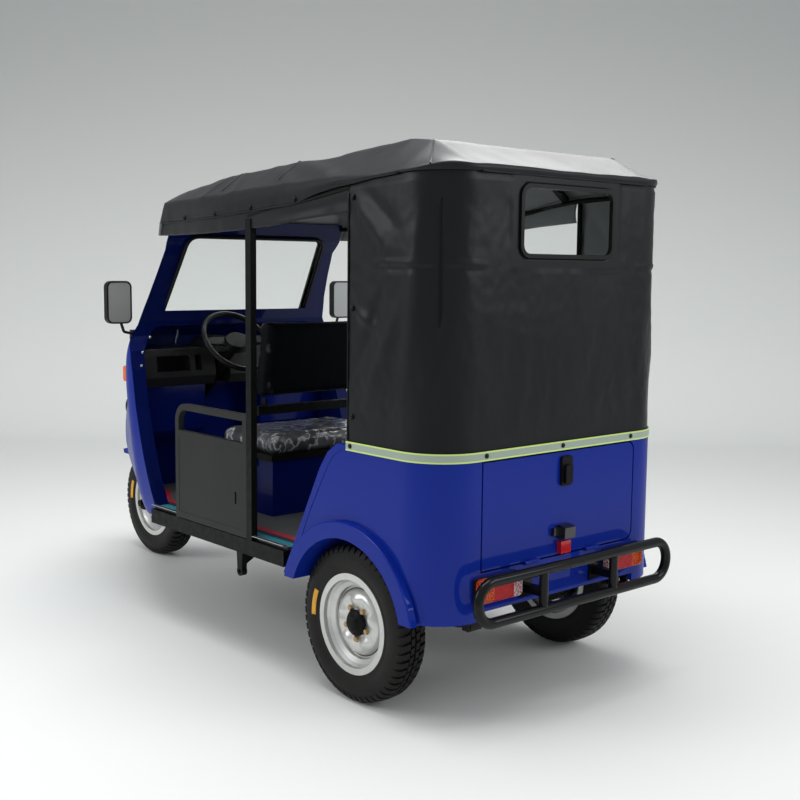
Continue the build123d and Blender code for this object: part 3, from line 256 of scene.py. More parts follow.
tail_lens = Look("tail_lens", (0.5, 0.01, 0.01), 0.3, coat_weight=0.25, specular_ior_level=0.1)
reach = tail_lens.math("ABSOLUTE", tail_lens.axis("X"))
facet = tail_lens.node("ShaderNodeTexVoronoi", "Distance", Vector=tail_lens.place, Scale=170.0)
outer = tail_lens.mix(tail_lens.ramp(reach, 0.3425, 0.3440), (0.60, 0.003, 0.006), (0.85, 0.14, 0.006))
clear = tail_lens.mix(tail_lens.ramp(reach, 0.2540, 0.2555), (0.75, 0.72, 0.74), (0.62, 0.003, 0.006))
whole = tail_lens.mix(tail_lens.ramp(reach, 0.3425, 0.3440), clear, outer)
# Each facet darkens from its centre towards its edges: painted shade between the lens's facets.
tail_lens.color(tail_lens.mix(tail_lens.ramp(facet, 0.0, 0.9), whole, (0.25, 0.004, 0.006)))
tail_lens.bump(facet, 0.0012, 0.5)

dress(rim_silver, "rim_front", "rim_rear_left", "rim_rear_right")
dress(tyre_rubber, "tyre_front", "tyre_rear_left", "tyre_rear_right")
dress(black_paint, "hub_front", "hub_rear_left", "hub_rear_right", "gate_latch")
dress(rubber, "window_rubbers")
dress(plastic, "mirror_cases", "wiper", "tail_lamp_bases", "headlamp_shells", "pedals", "steering_wheel")
dress(dash_look, "dashboard")
dress(amber, "front_indicators")
dress(tail_lens, "tail_lamp_lenses")
dress(glass, "window_panes")
dress(lamp_glass, "headlamp_lenses")
dress(mirror_look, "mirror_panes")
print("hard finishes ready")

# %% [markdown]
# ## The gate lamp
# On the real gate a black lamp body stands above a red reflector. One material parts them by height.

# %%
gate_lamp_look = Look("gate_lamp", (0.01, 0.01, 0.01), 0.3, coat_weight=0.4)
facet = gate_lamp_look.node("ShaderNodeTexVoronoi", "Distance", Vector=gate_lamp_look.place, Scale=150.0)
upper = gate_lamp_look.ramp(gate_lamp_look.axis("Z"), 0.5495, 0.5505)
gate_lamp_look.color(gate_lamp_look.mix(upper, (0.55, 0.006, 0.010), (0.006, 0.006, 0.006)))
gate_lamp_look.bump(facet, 0.001, 0.3)
dress(gate_lamp_look, "gate_lamp")

# %% [markdown]
# ## Vinyl, seat covers, mat and strip
# The top is coated cloth: a fine grain, slow changes of gloss, and a paler woven back that shows inside.
# The seats still have their clear wrapping: a sharp coat over black cloth, crumpled by ridged noise, with the film's
# highlights and sheen painted pale into the colour.

# %%
def vinyl_look(name, base):
    """Coated cloth in a given colour."""
    made = Look(name, base, 0.4, specular_ior_level=0.2)
    slow = made.noise(3.0, 3)
    made.color(made.mix(slow, tuple(0.8 * v for v in base), tuple(1.35 * v for v in base)))
    made.rough(made.node("ShaderNodeMapRange", "Result", Value=slow, **{"To Min": 0.30, "To Max": 0.44}))
    made.bump(made.noise(420, 4, 0.6), 0.0007, 0.30)
    made.bump(made.noise(45, 3), 0.0015, 0.22)
    return made


vinyl = vinyl_look("canopy_vinyl", (0.0095, 0.0105, 0.0115))
curtain_vinyl = vinyl_look("curtain_vinyl", (0.0055, 0.0070, 0.0078))
lining = Look("top_lining", (0.30, 0.31, 0.31), 0.8, specular_ior_level=0.2)
lining.bump(lining.noise(600, 2), 0.0006, 0.4)


def film_look(name, base, ridge, painted_film_glint):
    """Black seat cloth under crumpled clear film, with the film's highlights and sheen painted into the colour as
    pale lines and patches.
    """
    made = Look(name, base, 0.35, coat_weight=0.9, coat_roughness=0.06, coat_ior=1.6)
    # Pale lines along the noise and pale patches are painted highlight and sheen of the film.
    lines = made.ramp(made.math("ABSOLUTE", made.math("SUBTRACT", made.noise(15, 3), 0.5)), painted_film_glint, 0.0)
    painted_sheen = made.math("MULTIPLY", made.ramp(made.noise(7, 2), 0.38, 0.72), 0.30)
    made.color(made.mix(made.math("MAXIMUM", lines, painted_sheen), base, (0.55, 0.57, 0.58)))
    crumple = made.node("ShaderNodeTexNoise", "Fac", noise_dimensions="3D", noise_type="RIDGED_MULTIFRACTAL",
                        Vector=made.place, Scale=9.0, Detail=5.0, Roughness=0.55, Lacunarity=2.1)
    made.bump(crumple, 0.012, ridge)
    made.bump(made.noise(60, 4), 0.003, 0.4)
    return made


seat_look = film_look("seat_film", (0.030, 0.034, 0.036), 0.6, 0.045)
seat_cloth = Look("seat_cloth", (0.0025, 0.0040, 0.0055), 0.55, specular_ior_level=0.06)
reach = seat_cloth.axis("X")
streak = seat_cloth.node("ShaderNodeTexNoise", "Fac", noise_dimensions="3D", noise_type="RIDGED_MULTIFRACTAL",
                         Vector=seat_cloth.place, Scale=16.0, Detail=4.0, Roughness=0.6, Lacunarity=2.2)
# Pale streaks along the backrest's left edge, where clear film wraps it, are painted highlight of the film.
painted_film_glint = seat_cloth.math("MULTIPLY", seat_cloth.ramp(reach, 0.236, 0.246), seat_cloth.ramp(streak, 0.15, 0.9))
seat_cloth.color(seat_cloth.mix(painted_film_glint, (0.0025, 0.0040, 0.0055), (0.55, 0.57, 0.58)))
seat_cloth.bump(seat_cloth.noise(10, 3, stretch=(1, 1, 2)), 0.004, 0.5)
seat_cloth.bump(seat_cloth.noise(700, 2), 0.0005, 0.3)
dress(seat_look, "seat_cushions")
dress(seat_cloth, "seat_backrests")

mat_look = Look("floor_mat", (0.10, 0.11, 0.11), 0.7)
side_way = mat_look.axis("X")
along_way = mat_look.axis("Y")
bend = mat_look.math("MULTIPLY", mat_look.ramp(along_way, -0.36, -0.60), -0.10)
line = mat_look.math("SUBTRACT", side_way, bend)
speck = mat_look.ramp(mat_look.noise(420, 2), 0.50, 0.62)
grey = mat_look.mix(speck, (0.045, 0.047, 0.048), (0.17, 0.175, 0.18))
for low, high, tint in ((0.425, 0.457, (0.40, 0.010, 0.030)), (0.457, 0.487, (0.006, 0.008, 0.030)),
                        (0.487, 0.523, (0.005, 0.19, 0.24))):
    inside = mat_look.math("MULTIPLY", mat_look.ramp(line, low - 0.001, low + 0.001),
                           mat_look.ramp(line, high + 0.001, high - 0.001))
    grey = mat_look.mix(inside, grey, tint)
mat_look.color(grey)
mat_look.bump(mat_look.noise(500, 2), 0.0008, 0.5)
dress(mat_look, "floor_mat")

strip_look = Look("strip", (0.45, 0.47, 0.45), 0.35)
rise = strip_look.axis("Z")
middle = strip_look.math("MULTIPLY", strip_look.ramp(rise, 0.8535, 0.8543), strip_look.ramp(rise, 0.8747, 0.8739))
strip_look.color(strip_look.mix(middle, (0.60, 0.78, 0.22), (0.33, 0.40, 0.33)))
strip_look.bump(strip_look.noise(500), 0.0004, 0.2)
dress(strip_look, "reflective_strip")
dress(vinyl, "roof_canopy", "rear_curtain")

# %% [markdown]
# ## Studio
# A pale floor that curves up into a wall, lit by soft lamps and an even world.

# %%
heading = Vector((look.x, look.y, 0)).normalized()
across = Vector((heading.y, -heading.x, 0))
wall_reach = 10.3
turn_radius = 0.9
profile = [(-6.0, 0.0), (wall_reach - turn_radius, 0.0)]
for i in range(1, 13):
    a = math.radians(90 * i / 12)
    profile.append((wall_reach - turn_radius + turn_radius * math.sin(a), turn_radius * (1 - math.cos(a))))
profile.append((wall_reach, 7.0))
start = Vector((camera_place.x, camera_place.y, 0))
bm = bmesh.new()
rows = [[bm.verts.new(start + heading * d + across * side + Vector((0, 0, h))) for side in (-14, 14)]
        for d, h in profile]
for (a, b), (c, d) in zip(rows, rows[1:]):
    bm.faces.new((a, b, d, c))
backdrop_mesh = bpy.data.meshes.new("backdrop")
bm.to_mesh(backdrop_mesh)
backdrop_mesh.polygons.foreach_set("use_smooth", [True] * len(backdrop_mesh.polygons))
backdrop = bpy.data.objects.new("backdrop", backdrop_mesh)
scene.collection.objects.link(backdrop)
backdrop_look = Look("studio_grey", (0.78, 0.79, 0.77), 0.7, specular_ior_level=0.25)
height = backdrop_look.axis("Z")
# The wall darkens with height: painted shade for the light falling off towards the top.
backdrop_look.color(backdrop_look.mix(backdrop_look.ramp(height, 0.0, 4.0), (0.84, 0.85, 0.82), (0.48, 0.49, 0.475)))
backdrop_look.bump(backdrop_look.noise(40), 0.001, 0.02)
backdrop_mesh.materials.append(backdrop_look.material)

world = bpy.data.worlds.new("studio")
scene.world = world
world.use_nodes = True
world.node_tree.nodes["Background"].inputs["Color"].default_value = (0.92, 0.95, 1.0, 1)
world.node_tree.nodes["Background"].inputs["Strength"].default_value = 0.55


def lamp(name, place, target, size, power, diffuse=True):
    """A square soft lamp that faces a point."""
    data = bpy.data.lights.new(name, "AREA")
    data.size = size
    data.energy = power
    made = bpy.data.objects.new(name, data)
    scene.collection.objects.link(made)
    made.location = place
    made.rotation_mode = "QUATERNION"
    made.rotation_quaternion = (Vector(target) - Vector(place)).to_track_quat("-Z", "Y")
    made.visible_diffuse = diffuse
    return made


lamp("lamp_top", (0.3, 0.6, 4.6), (0, 0.2, 0.5), 3.2, 158)
lamp("lamp_left", (4.6, -1.8, 3.2), (0, 0, 0.9), 2.4, 70)
lamp("card_far", (-3.4, -1.2, 4.9), (0, 0.9, 1.7), 3.0, 130, diffuse=False)
lamp("lamp_back", (-2.6, 5.0, 3.0), (0, 0.4, 0.9), 2.4, 60)
print("studio set")

# %% [markdown]
# ## Making pieces
# A piece is a mesh from points and faces, riding on a body. Things that repeat are put on points by one
# Geometry Nodes tree, which turns each by the point's `turn` attribute and then realizes them.

# %%


def piece(name, points, faces, look, body="chassis", smooth=True):
    """A new mesh piece in its final place, riding on a body."""
    mesh = bpy.data.meshes.new(name)
    mesh.from_pydata([tuple(p) for p in points], [], [tuple(f) for f in faces])
    mesh.polygons.foreach_set("use_smooth", [smooth] * len(mesh.polygons))
    mesh.materials.append(look.material)
    made = bpy.data.objects.new(name, mesh)
    scene.collection.objects.link(made)
    if body:
        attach(made, body)
    return made


def settle(made):
    """The piece with its modifiers turned into plain mesh."""
    bpy.context.view_layer.update()
    done = bpy.data.meshes.new_from_object(made.evaluated_get(bpy.context.evaluated_depsgraph_get()))
    made.modifiers.clear()
    made.data = done
    return made


def tidy(made, outward=True):
    """Merges doubled points and points the faces outwards."""
    bm = bmesh.new()
    bm.from_mesh(made.data)
    bmesh.ops.remove_doubles(bm, verts=bm.verts, dist=0.00002)
    if outward:
        bmesh.ops.recalc_face_normals(bm, faces=bm.faces)
    bm.to_mesh(made.data)
    bm.free()
    return made


def lattice(rows, columns, around=False):
    """Faces of a grid of points, row by row, closed around the columns where asked."""
    faces = []
    for r in range(rows - 1):
        for c in range(columns if around else columns - 1):
            d = (c + 1) % columns
            faces.append((r * columns + c, r * columns + d, (r + 1) * columns + d, (r + 1) * columns + c))
    return faces


def lathe(profile, count, place, side=1):
    """Points and faces of a ring about X through place, from (offset outwards, radius) points."""
    points = []
    for k in range(count):
        a = 2 * math.pi * k / count
        points += [(place[0] + side * s, place[1] + r * math.sin(a), place[2] + r * math.cos(a)) for s, r in profile]
    n = len(profile)
    faces = [(k * n + i, k * n + i + 1, (k + 1) % count * n + i + 1, (k + 1) % count * n + i)
             for k in range(count) for i in range(n - 1)]
    return points, faces


def pipe(route, radius, count=8, closed=False):
    """Points and faces of a round cord along a route of points."""
    route = [Vector(p) for p in route]
    points, last = [], None
    for i, p in enumerate(route):
        ahead = route[(i + 1) % len(route)] if closed or i < len(route) - 1 else p
        behind = route[i - 1] if closed or i else p
        way = (ahead - behind).normalized()
        first = (last - way * last.dot(way)) if last else way.orthogonal()
        first.normalize()
        last = first
        second = way.cross(first)
        turns = [2 * math.pi * k / count for k in range(count)]
        points += [p + radius * (first * math.cos(a) + second * math.sin(a)) for a in turns]
    faces = lattice(len(route), count, True)
    if closed:
        start = (len(route) - 1) * count
        faces += [(start + k, start + (k + 1) % count, (k + 1) % count, k) for k in range(count)]
    else:
        faces += [tuple(range(count))[::-1], tuple(range((len(route) - 1) * count, len(route) * count))]
    return points, faces


def repeat_tree():
    """The node tree that puts one piece on many points."""
    tree = bpy.data.node_groups.new("repeat_piece", "GeometryNodeTree")
    for label, kind in (("Points", "Geometry"), ("Piece", "Object"), ("Finish", "Material"), ("Size", "Float")):
        tree.interface.new_socket(label, in_out="INPUT", socket_type="NodeSocket" + kind)
    tree.interface.new_socket("Geometry", in_out="OUTPUT", socket_type="NodeSocketGeometry")
    new, link = tree.nodes.new, tree.links.new
    into, out = new("NodeGroupInput"), new("NodeGroupOutput")
    info, spots = new("GeometryNodeObjectInfo"), new("GeometryNodeMeshToPoints")
    turn, euler = new("GeometryNodeInputNamedAttribute"), new("FunctionNodeEulerToRotation")
    turn.data_type = "FLOAT_VECTOR"
    turn.inputs["Name"].default_value = "turn"
    put, real = new("GeometryNodeInstanceOnPoints"), new("GeometryNodeRealizeInstances")
    finish = new("GeometryNodeSetMaterial")
    link(into.outputs["Points"], spots.inputs["Mesh"])
    link(into.outputs["Piece"], info.inputs["Object"])
    link(turn.outputs["Attribute"], euler.inputs["Euler"])
    link(spots.outputs["Points"], put.inputs["Points"])
    link(info.outputs["Geometry"], put.inputs["Instance"])
    link(euler.outputs["Rotation"], put.inputs["Rotation"])
    link(into.outputs["Size"], put.inputs["Scale"])
    link(put.outputs["Instances"], real.inputs["Geometry"])
    link(real.outputs["Geometry"], finish.inputs["Geometry"])
    link(into.outputs["Finish"], finish.inputs["Material"])
    link(finish.outputs["Geometry"], out.inputs["Geometry"])
    return tree


repeating = repeat_tree()


def repeat(name, spots, points, faces, look, body="chassis", slot=None, smooth=False):
    """Copies of one small shape on spots, each a (place, turn) pair, as one plain mesh."""
    one = piece("one_of_" + name, points, faces, look, body=None, smooth=smooth)
    many = piece(name, [p for p, t in spots], [], look, body=None)
    turns = many.data.attributes.new("turn", "FLOAT_VECTOR", "POINT")
    turns.data.foreach_set("vector", [v for p, t in spots for v in t])
    modifier = many.modifiers.new("repeat", "NODES")
    modifier.node_group = repeating
    ids = {item.name: item.identifier for item in repeating.interface.items_tree if item.in_out == "INPUT"}
    modifier[ids["Piece"]] = one
    modifier[ids["Finish"]] = look.material
    modifier[ids["Size"]] = 1.0
    settle(many)
    bpy.data.objects.remove(one)
    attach(many, body)
    return many


def dome(radius, height, count=12):
    """Points and faces of a small domed button on the XY plane, rising along +Z."""
    points = [(radius * math.cos(a) * r, radius * math.sin(a) * r, height * z)
              for r, z in ((1, -0.3), (1, 0.35), (0.85, 0.75), (0.5, 0.96))
              for a in [2 * math.pi * k / count for k in range(count)]]
    points.append((0, 0, height))
    faces = lattice(4, count, True) + [(3 * count + k, 3 * count + (k + 1) % count, 4 * count) for k in range(count)]
    faces.append(tuple(range(count))[::-1])
    return points, faces


def facing(direction):
    """The turn that points +Z along a direction."""
    return tuple(Vector(direction).to_track_quat("Z", "Y").to_euler())


FRONT, REAR, AXLE = -1.2305, 0.9645, 0.265
print("tools ready")

# %% [markdown]
# ## Tyres
# The CAD tyre is a plain ring. Here the carcass is turned from a finer profile, with rings on its wall, and
# the tread is three rows of blocks on the ring: shoulder blocks that wrap over the edge, and a centre rib.

# %%
wall = [(45.5, 153.5), (46, 166), (50.5, 172), (51.5, 175), (50.8, 179), (54.5, 190), (57.0, 205), (57.6, 216),
        (57.2, 219), (57.8, 221), (57.2, 223), (56.6, 230), (55.2, 237), (52.5, 244), (48, 250), (40, 254), (20, 256)]
carcass = wall + [(-s, r) for s, r in reversed(wall)]
carcass = [(s / 1000, r / 1000) for s, r in carcass]
tread_count = 54
shoulder = [(0.0205, 0.2555), (0.0205, 0.2642), (0.036, 0.2628), (0.0475, 0.2572), (0.0540, 0.2480), (0.0560, 0.2400),
            (0.0530, 0.2400), (0.0505, 0.2455), (0.0450, 0.2505), (0.036, 0.2535)]


def slab(section, half, lean=0.0):
    """A prism of an (x, z) section between -half and half along Y, leaning with x."""
    n = len(section)
    points = [(x, e * half + lean * (x - section[0][0]), z) for e in (-1, 1) for x, z in section]
    faces = [(i, (i + 1) % n, n + (i + 1) % n, n + i) for i in range(n)]
    return points, faces + [tuple(range(n))[::-1], tuple(range(n, 2 * n))]


def tread(name, place, body):
    """One tyre's tread blocks, both shoulders and the centre."""
    step = 2 * math.pi / tread_count
    around = [(place, (k * step, 0, 0)) for k in range(tread_count)]
    between = [(place, ((k + 0.5) * step, 0, 0)) for k in range(tread_count)]
    made = []
    for label, spots, section, lean in (
            ("left", around, shoulder, 0.25),
            ("right", between, [(-x, z) for x, z in reversed(shoulder)], 0.25),
            ("mid_left", between, [(0.0035, 0.255), (0.0035, 0.2648), (0.0170, 0.2645), (0.0170, 0.255)], 0.5),
            ("mid_right", around, [(-0.0170, 0.255), (-0.0170, 0.2645), (-0.0035, 0.2648), (-0.0035, 0.255)], 0.5)):
        half = 0.0098 if "mid" not in label else 0.0115
        points, faces = slab(section, half, lean)
        made.append(repeat(name + "_tread_" + label, spots, points, faces, tyre_rubber, body, "tyre"))
    return made


def tyre(name, node, place, body, side):
    """A turned carcass in the place of the CAD tyre, with its tread."""
    points, faces = lathe(carcass, 96, place, side)
    made = tidy(piece(name, points, faces, tyre_rubber, body))
    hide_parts(node)
    tread(name, place, body)
    return made


wheels = (("front", "tyre_front", (0, FRONT, AXLE), "front_wheel", 1),
          ("rear_left", "tyre_rear_left", (0.491, REAR, AXLE), "rear_wheel_left", 1),
          ("rear_right", "tyre_rear_right", (-0.491, REAR, AXLE), "rear_wheel_right", -1))
for end, node, place, body, side in wheels:
    tyre("carcass_" + end, node, place, body, side)
print("tyres:", tread_count * 4, "blocks each")

# %% [markdown]
# ## Wheel centres
# Brass-coloured nuts on the bolts, a black cover over the hub, and a blank yellow label on the
# outer wall of each tyre.

# %%
label_look = Look("tyre_label", (0.75, 0.36, 0.02), 0.5)
label_look.color(label_look.mix(label_look.noise(60, 3), (0.62, 0.27, 0.02), (0.85, 0.45, 0.03)))
label_look.bump(label_look.noise(400), 0.0004, 0.3)
nut_points = [(0.0105 * math.cos(a) * s, 0.0105 * math.sin(a) * s, z)
              for s, z in ((1, 0.0), (1, 0.008), (0.8, 0.0115)) for a in [math.pi / 3 * k for k in range(6)]]
nut_faces = lattice(3, 6, True) + [tuple(range(12, 18))]
cover = [(0.023, 0.0), (0.023, 0.043), (0.030, 0.044), (0.038, 0.040), (0.041, 0.026), (0.0465, 0.0245),
         (0.0510, 0.020),
         (0.0515, 0.0)]
for end, node, place, body, side in wheels:
    spots = []
    for k in range(5):
        a = math.radians(54 + 72 * k)
        spot = Vector(place) + Vector((side * 0.0225, 0.055 * math.cos(a), 0.055 * math.sin(a)))
        spots.append((spot, facing((side, 0, 0))))
    repeat("nuts_" + end, spots, nut_points, nut_faces, brass, body, "bare_steel")
    if end != "front":
        points, faces = lathe(cover, 40, place, side)
        tidy(piece("hub_cover_" + end, points, faces, black_paint, body))
    patch = []
    for k in range(9):
        a = math.radians(-66 - 3.4 * k)
        for r, s in ((0.1865, 0.0545), (0.195, 0.0561), (0.2055, 0.0576)):
            patch.append(Vector(place) + Vector((side * s, r * math.sin(a), r * math.cos(a))))
    faces = [(i * 3 + j, i * 3 + 3 + j, i * 3 + 4 + j, i * 3 + 1 + j) for i in range(8) for j in range(2)]
    mark = piece("label_" + end, patch, faces, label_look, body)
    mark.modifiers.new("thick", "SOLIDIFY").thickness = 0.0004
    settle(mark)
print("wheel centres done")

# %% [markdown]
# ## The top
# One sheet of coated cloth over the bows: a shallow ridge, raked front, sloping back and a short skirt. Its
# shape follows the same stations as the CAD canopy, sagging a little between the bows.

# %%
stations = [-1420, -900, -592, -540, -50, 150, 259, 430]
top_halves = [415, 440, 440, 440, 440, 434, 432, 428]
top_heights = [1706, 1774, 1792, 1794, 1820, 1840, 1828, 1748]
eave_halves = [464, 547, 580, 580, 570, 565, 565, 565]
eave_heights = [1682, 1692, 1692, 1694, 1716, 1725, 1730, 1738]
hem_line = ([-1400, -1086, -938, -778, -543, -282, -190, -84, 18, 164, 309, 430],
            [1604, 1607, 1611, 1614, 1629, 1647, 1670, 1691, 1699, 1716, 1723, 1726])
bows = (-1290, -1180, -563, -60, 262, 425)


def crease(p, a, b, wide, deep):
    """A soft ridge along the line from a to b, for points in a plane."""
    ax, ay, bx, by = a[0], a[1], b[0], b[1]
    long = math.hypot(bx - ax, by - ay)
    t = ((p[0] - ax) * (bx - ax) + (p[1] - ay) * (by - ay)) / long ** 2
    near = max(0.0, min(1.0, t))
    gap = math.hypot(p[0] - ax - near * (bx - ax), p[1] - ay - near * (by - ay))
    return deep * math.exp(-(gap / wide) ** 2) * math.sin(math.pi * min(1, max(0, 0.12 + 0.76 * near)))


def plan_half(y):
    """Half width of the rounded rear plan at a station."""
    return 565.0 if y <= 265 else 400 + math.sqrt(max(0.0, 165 ** 2 - (y - 265) ** 2))


def roof_half(y):
    return min(float(np.interp(y, stations, eave_halves)), plan_half(y))


def roof_height(x, y):
    """Height of the cloth over a point, with a soft shoulder and a sag between the bows."""
    shoulder, crown = np.interp(y, stations, top_halves), np.interp(y, stations, top_heights)
    eave, low = np.interp(y, stations, eave_halves), np.interp(y, stations, eave_heights)
    t = max(0.0, (abs(x) - shoulder) / (eave - shoulder))
    z = crown + (low - crown) * t
    soft = 34.0
    z -= 3.0 * math.exp(-((abs(x) - shoulder) / soft) ** 2)
    gaps = [(a, b) for a, b in zip(bows, bows[1:]) if a <= y <= b]
    if gaps:
        a, b = gaps[0]
        z -= 2.5 * math.sin(math.pi * (y - a) / (b - a))
    p = Vector((x / 1000, y / 1000, 0.3))
    z += 3.2 * noise.noise(p * 4.0) + 1.6 * noise.noise(p * 11.0 + Vector((5, 2, 1)))
    q = (abs(x), y)
    z += crease(q, (565, -60), (430, -470), 26, 10) + crease(q, (560, -330), (440, -560), 20, 7)
    z += crease(q, (570, -650), (440, -760), 18, 6) + crease(q, (540, -900), (430, -850), 16, 5)
    z += crease(q, (430, -180), (420, 240), 14, 7) - crease(q, (560, -150), (450, 60), 30, 8)
    return float(z)


def front_edge(z):
    return -1340 + 70 * (z - 1556) / 134


def eave_point(t, y):
    x = roof_half(y) * t
    return x, y, roof_height(x, y)


span = 72
across_t = [math.sin(math.pi / 2 * (2 * i / span - 1)) * 0.35 + 0.65 * (2 * i / span - 1) for i in range(span + 1)]
long_rows = [i / 88 for i in range(89)]
corner_rows = [265 + 165 * math.sin(math.radians(90 * i / 14)) for i in range(1, 15)]
grid = []
for share in long_rows:
    row = []
    for t in across_t:
        y = -1290.0
        for _ in range(4):
            y = front_edge(eave_point(t, y)[2])
        row.append(eave_point(t, y + (265 - y) * share))
    grid.append(row)
grid += [[eave_point(t, y) for t in across_t] for y in corner_rows]
rows, columns = len(grid), span + 1
points = [p for row in grid for p in row]
faces = lattice(rows, columns)
rim = [(r, columns - 1) for r in range(rows)] + [(rows - 1, c) for c in range(columns - 2, -1, -1)]
rim += [(r, 0) for r in range(rows - 2, -1, -1)]
skirt_steps = 6


def skirt_point(at, down):
    """A point on the skirt below a point of the rim, down from 0 to 1."""
    x, y, z = at
    hem = float(np.interp(y, *hem_line))
    low = min(hem, z - 8)
    height = z + (low - z) * down
    ahead = max(0.0, min(1.0, (-1060 - y) / 240)) ** 2
    y += (front_edge(height) - front_edge(z)) * ahead
    flare = 3.0 * math.sin(math.pi * min(1, down * 1.2)) + 4.0 * noise.noise(Vector((x, y * 1.6, z)) / 95.0) * down
    out = Vector((x, 0, 0)).normalized() if at[1] < 265 else Vector(
        (at[0] - math.copysign(400, at[0]) if abs(at[0]) > 400 else 0, at[1] - 265, 0)).normalized()
    return x + out.x * flare, y + out.y * flare, height


skirt_start = len(points)
for step in range(1, skirt_steps + 1):
    points += [skirt_point(grid[r][c], step / skirt_steps) for r, c in rim]
for step in range(skirt_steps):
    for i in range(len(rim) - 1):
        upper = [rim[i][0] * columns + rim[i][1], rim[i + 1][0] * columns + rim[i + 1][1]]
        if step:
            upper = [skirt_start + (step - 1) * len(rim) + i, skirt_start + (step - 1) * len(rim) + i + 1]
        lower = [skirt_start + step * len(rim) + i, skirt_start + step * len(rim) + i + 1]
        faces.append((upper[0], upper[1], lower[1], lower[0]))
front_start = len(points)
for step in range(1, 7):
    for c in range(columns):
        x, y, z = grid[0][c]
        low = 1600 if abs(x) < 405 else 1558 if 0 < c < span else float(np.interp(y, *hem_line))
        height = z + (low - z) * step / 6
        points.append((x, front_edge(height) + 1.5 * noise.noise(Vector((x, 0, z)) / 60), height))
for step in range(6):
    for c in range(columns - 1):
        above = c if step == 0 else front_start + (step - 1) * columns + c
        upper = [above, above + 1]
        lower = [front_start + step * columns + c, front_start + step * columns + c + 1]
        faces.append((upper[0], upper[1], lower[1], lower[0]))


def solve(points):
    """Points in millimetres from the rear axle, turned into metres in the row frame."""
    return [(x / 1000, REAR + y / 1000, z / 1000) for x, y, z in points]


canopy = tidy(piece("canopy_cloth", solve(points), faces, vinyl))
canopy.data.materials.append(lining.material)


def cloth_area(made):
    return sum(f.area for f in made.data.polygons)


def line_with(made, thickness):
    """Gives a sheet its thickness inwards, with the paler back."""
    flat = cloth_area(made)
    grow = made.modifiers.new("thick", "SOLIDIFY")
    grow.thickness = thickness
    grow.offset = -1
    grow.material_offset = 1
    settle(made)
    return flat


# The flat size is worked back from the mesh's own area and a chosen width. It isn't a measured cut.
area = line_with(canopy, 0.002)
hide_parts("roof_canopy")
print("canopy", len(canopy.data.polygons), "faces,", round(area, 2), "square metres")

# %% [markdown]
# ## The side flaps
# Below the hem each side has a second strip of cloth. Towards the back it twists inwards, and its grey
# back shows.

# %%
flap_low = ([-1400, -1152, -880, -663, -426, -309, -197, -90, 13],
            [1557, 1555, 1556, 1562, 1575, 1589, 1599, 1606, 1613])


def flap(name, side):
    """One side's lower strip."""
    points, count, down_steps = [], 90, 8
    for i in range(count + 1):
        y = -1345 + 1347 * i / count
        top, low = float(np.interp(y, *hem_line)) + 14, float(np.interp(y, *flap_low))
        half = roof_half(y)
        inward = 26 * max(0.0, min(1.0, (y + 440) / 300))
        for j in range(down_steps + 1):
            t = j / down_steps
            z = top + (low - top) * t
            wave = 3.5 * noise.noise(Vector((y / 90, z / 140, side * 3))) * t
            x = half - 4 - inward * math.sin(math.pi * min(1.0, 0.75 * t)) + wave
            ahead = max(0.0, min(1.0, (-1180 - y) / 160)) ** 2
            points.append((side * x, max(y, front_edge(z)) if ahead > 0 else y, z))
    made = tidy(piece(name, solve(points), lattice(count + 1, down_steps + 1), vinyl))
    made.data.materials.append(lining.material)
    bm = bmesh.new()
    bm.from_mesh(made.data)
    middle = sum((f.normal.x * side) for f in bm.faces)
    if middle < 0:
        bmesh.ops.reverse_faces(bm, faces=bm.faces)
    bm.to_mesh(made.data)
    bm.free()
    # The flat size is worked back from the mesh's own area and a chosen length. It isn't a measured cut.
    area = line_with(made, 0.002)
    return made


flaps = [flap("flap_left", 1), flap("flap_right", -1)]
print("flaps", [len(f.data.polygons) for f in flaps])

# %% [markdown]
# ## The rear curtain
# One sheet from the left doorway round the back to the right doorway, with the window cut out. It hangs from
# the top, so slow folds run down it, with creases where it was folded and at the fastenings.

# %%
arc = 165 * math.pi / 2
path_length = 265 + arc + 800 + arc + 265


def curtain_spot(s):
    """The plan point and outward direction at a length along the curtain from its left front edge."""
    if s > path_length / 2:
        point, out = curtain_spot(path_length - s)
        return Vector((-point.x, point.y, 0)), Vector((-out.x, out.y, 0))
    if s <= 265:
        return Vector((565, s, 0)), Vector((1, 0, 0))
    if s <= 265 + arc:
        a = (s - 265) / 165
        return Vector((400 + 165 * math.cos(a), 265 + 165 * math.sin(a), 0)), Vector((math.cos(a), math.sin(a), 0))
    return Vector((400 - (s - 265 - arc), 430, 0)), Vector((0, 1, 0))


def curtain_swell(s, z):
    """How far the cloth stands out from its plain shape, in millimetres."""
    mirrored = min(s, path_length - s)
    p = Vector((s / 230, z / 620, 1.7))
    held = min(1.0, max(0.0, (z - 868) / 120), max(0.0, (1715 - z) / 90))
    swell = 6.0 * noise.noise(p) + 2.2 * noise.noise(Vector((s / 70, z / 190, 4.2)))
    swell += 0.8 * noise.noise(Vector((s / 25, z / 40, 9)))
    q = (mirrored, z)
    swell += crease(q, (130, 1452), (560, 1448), 7, 3.0) - crease(q, (150, 1436), (540, 1434), 10, 2.4)
    swell += crease(q, (30, 1655), (190, 1500), 26, 5.0) - crease(q, (60, 1690), (230, 1560), 22, 4.0)
    swell += crease(q, (330, 1660), (300, 1180), 34, 5.5) - crease(q, (395, 1640), (380, 1150), 30, 5.0)
    swell += crease(q, (250, 1330), (90, 1010), 30, 5.0) - crease(q, (180, 1380), (50, 1120), 24, 4.0)
    swell += crease(q, (26, 1308), (150, 1240), 18, 4.0) + crease(q, (430, 1300), (330, 960), 34, 4.5)
    return 1.7 * swell * held


def in_window(x, z, inset):
    """Whether a point is inside the rear window's rounded outline."""
    dx, dz = abs(x) - (228 - inset - 30), abs(z - 1585) - (115 - inset - 30)
    return math.hypot(max(dx, 0), max(dz, 0)) < 30


def curtain_top(y):
    return float(np.interp(y, [0, 430], [1699, 1724])) + 10


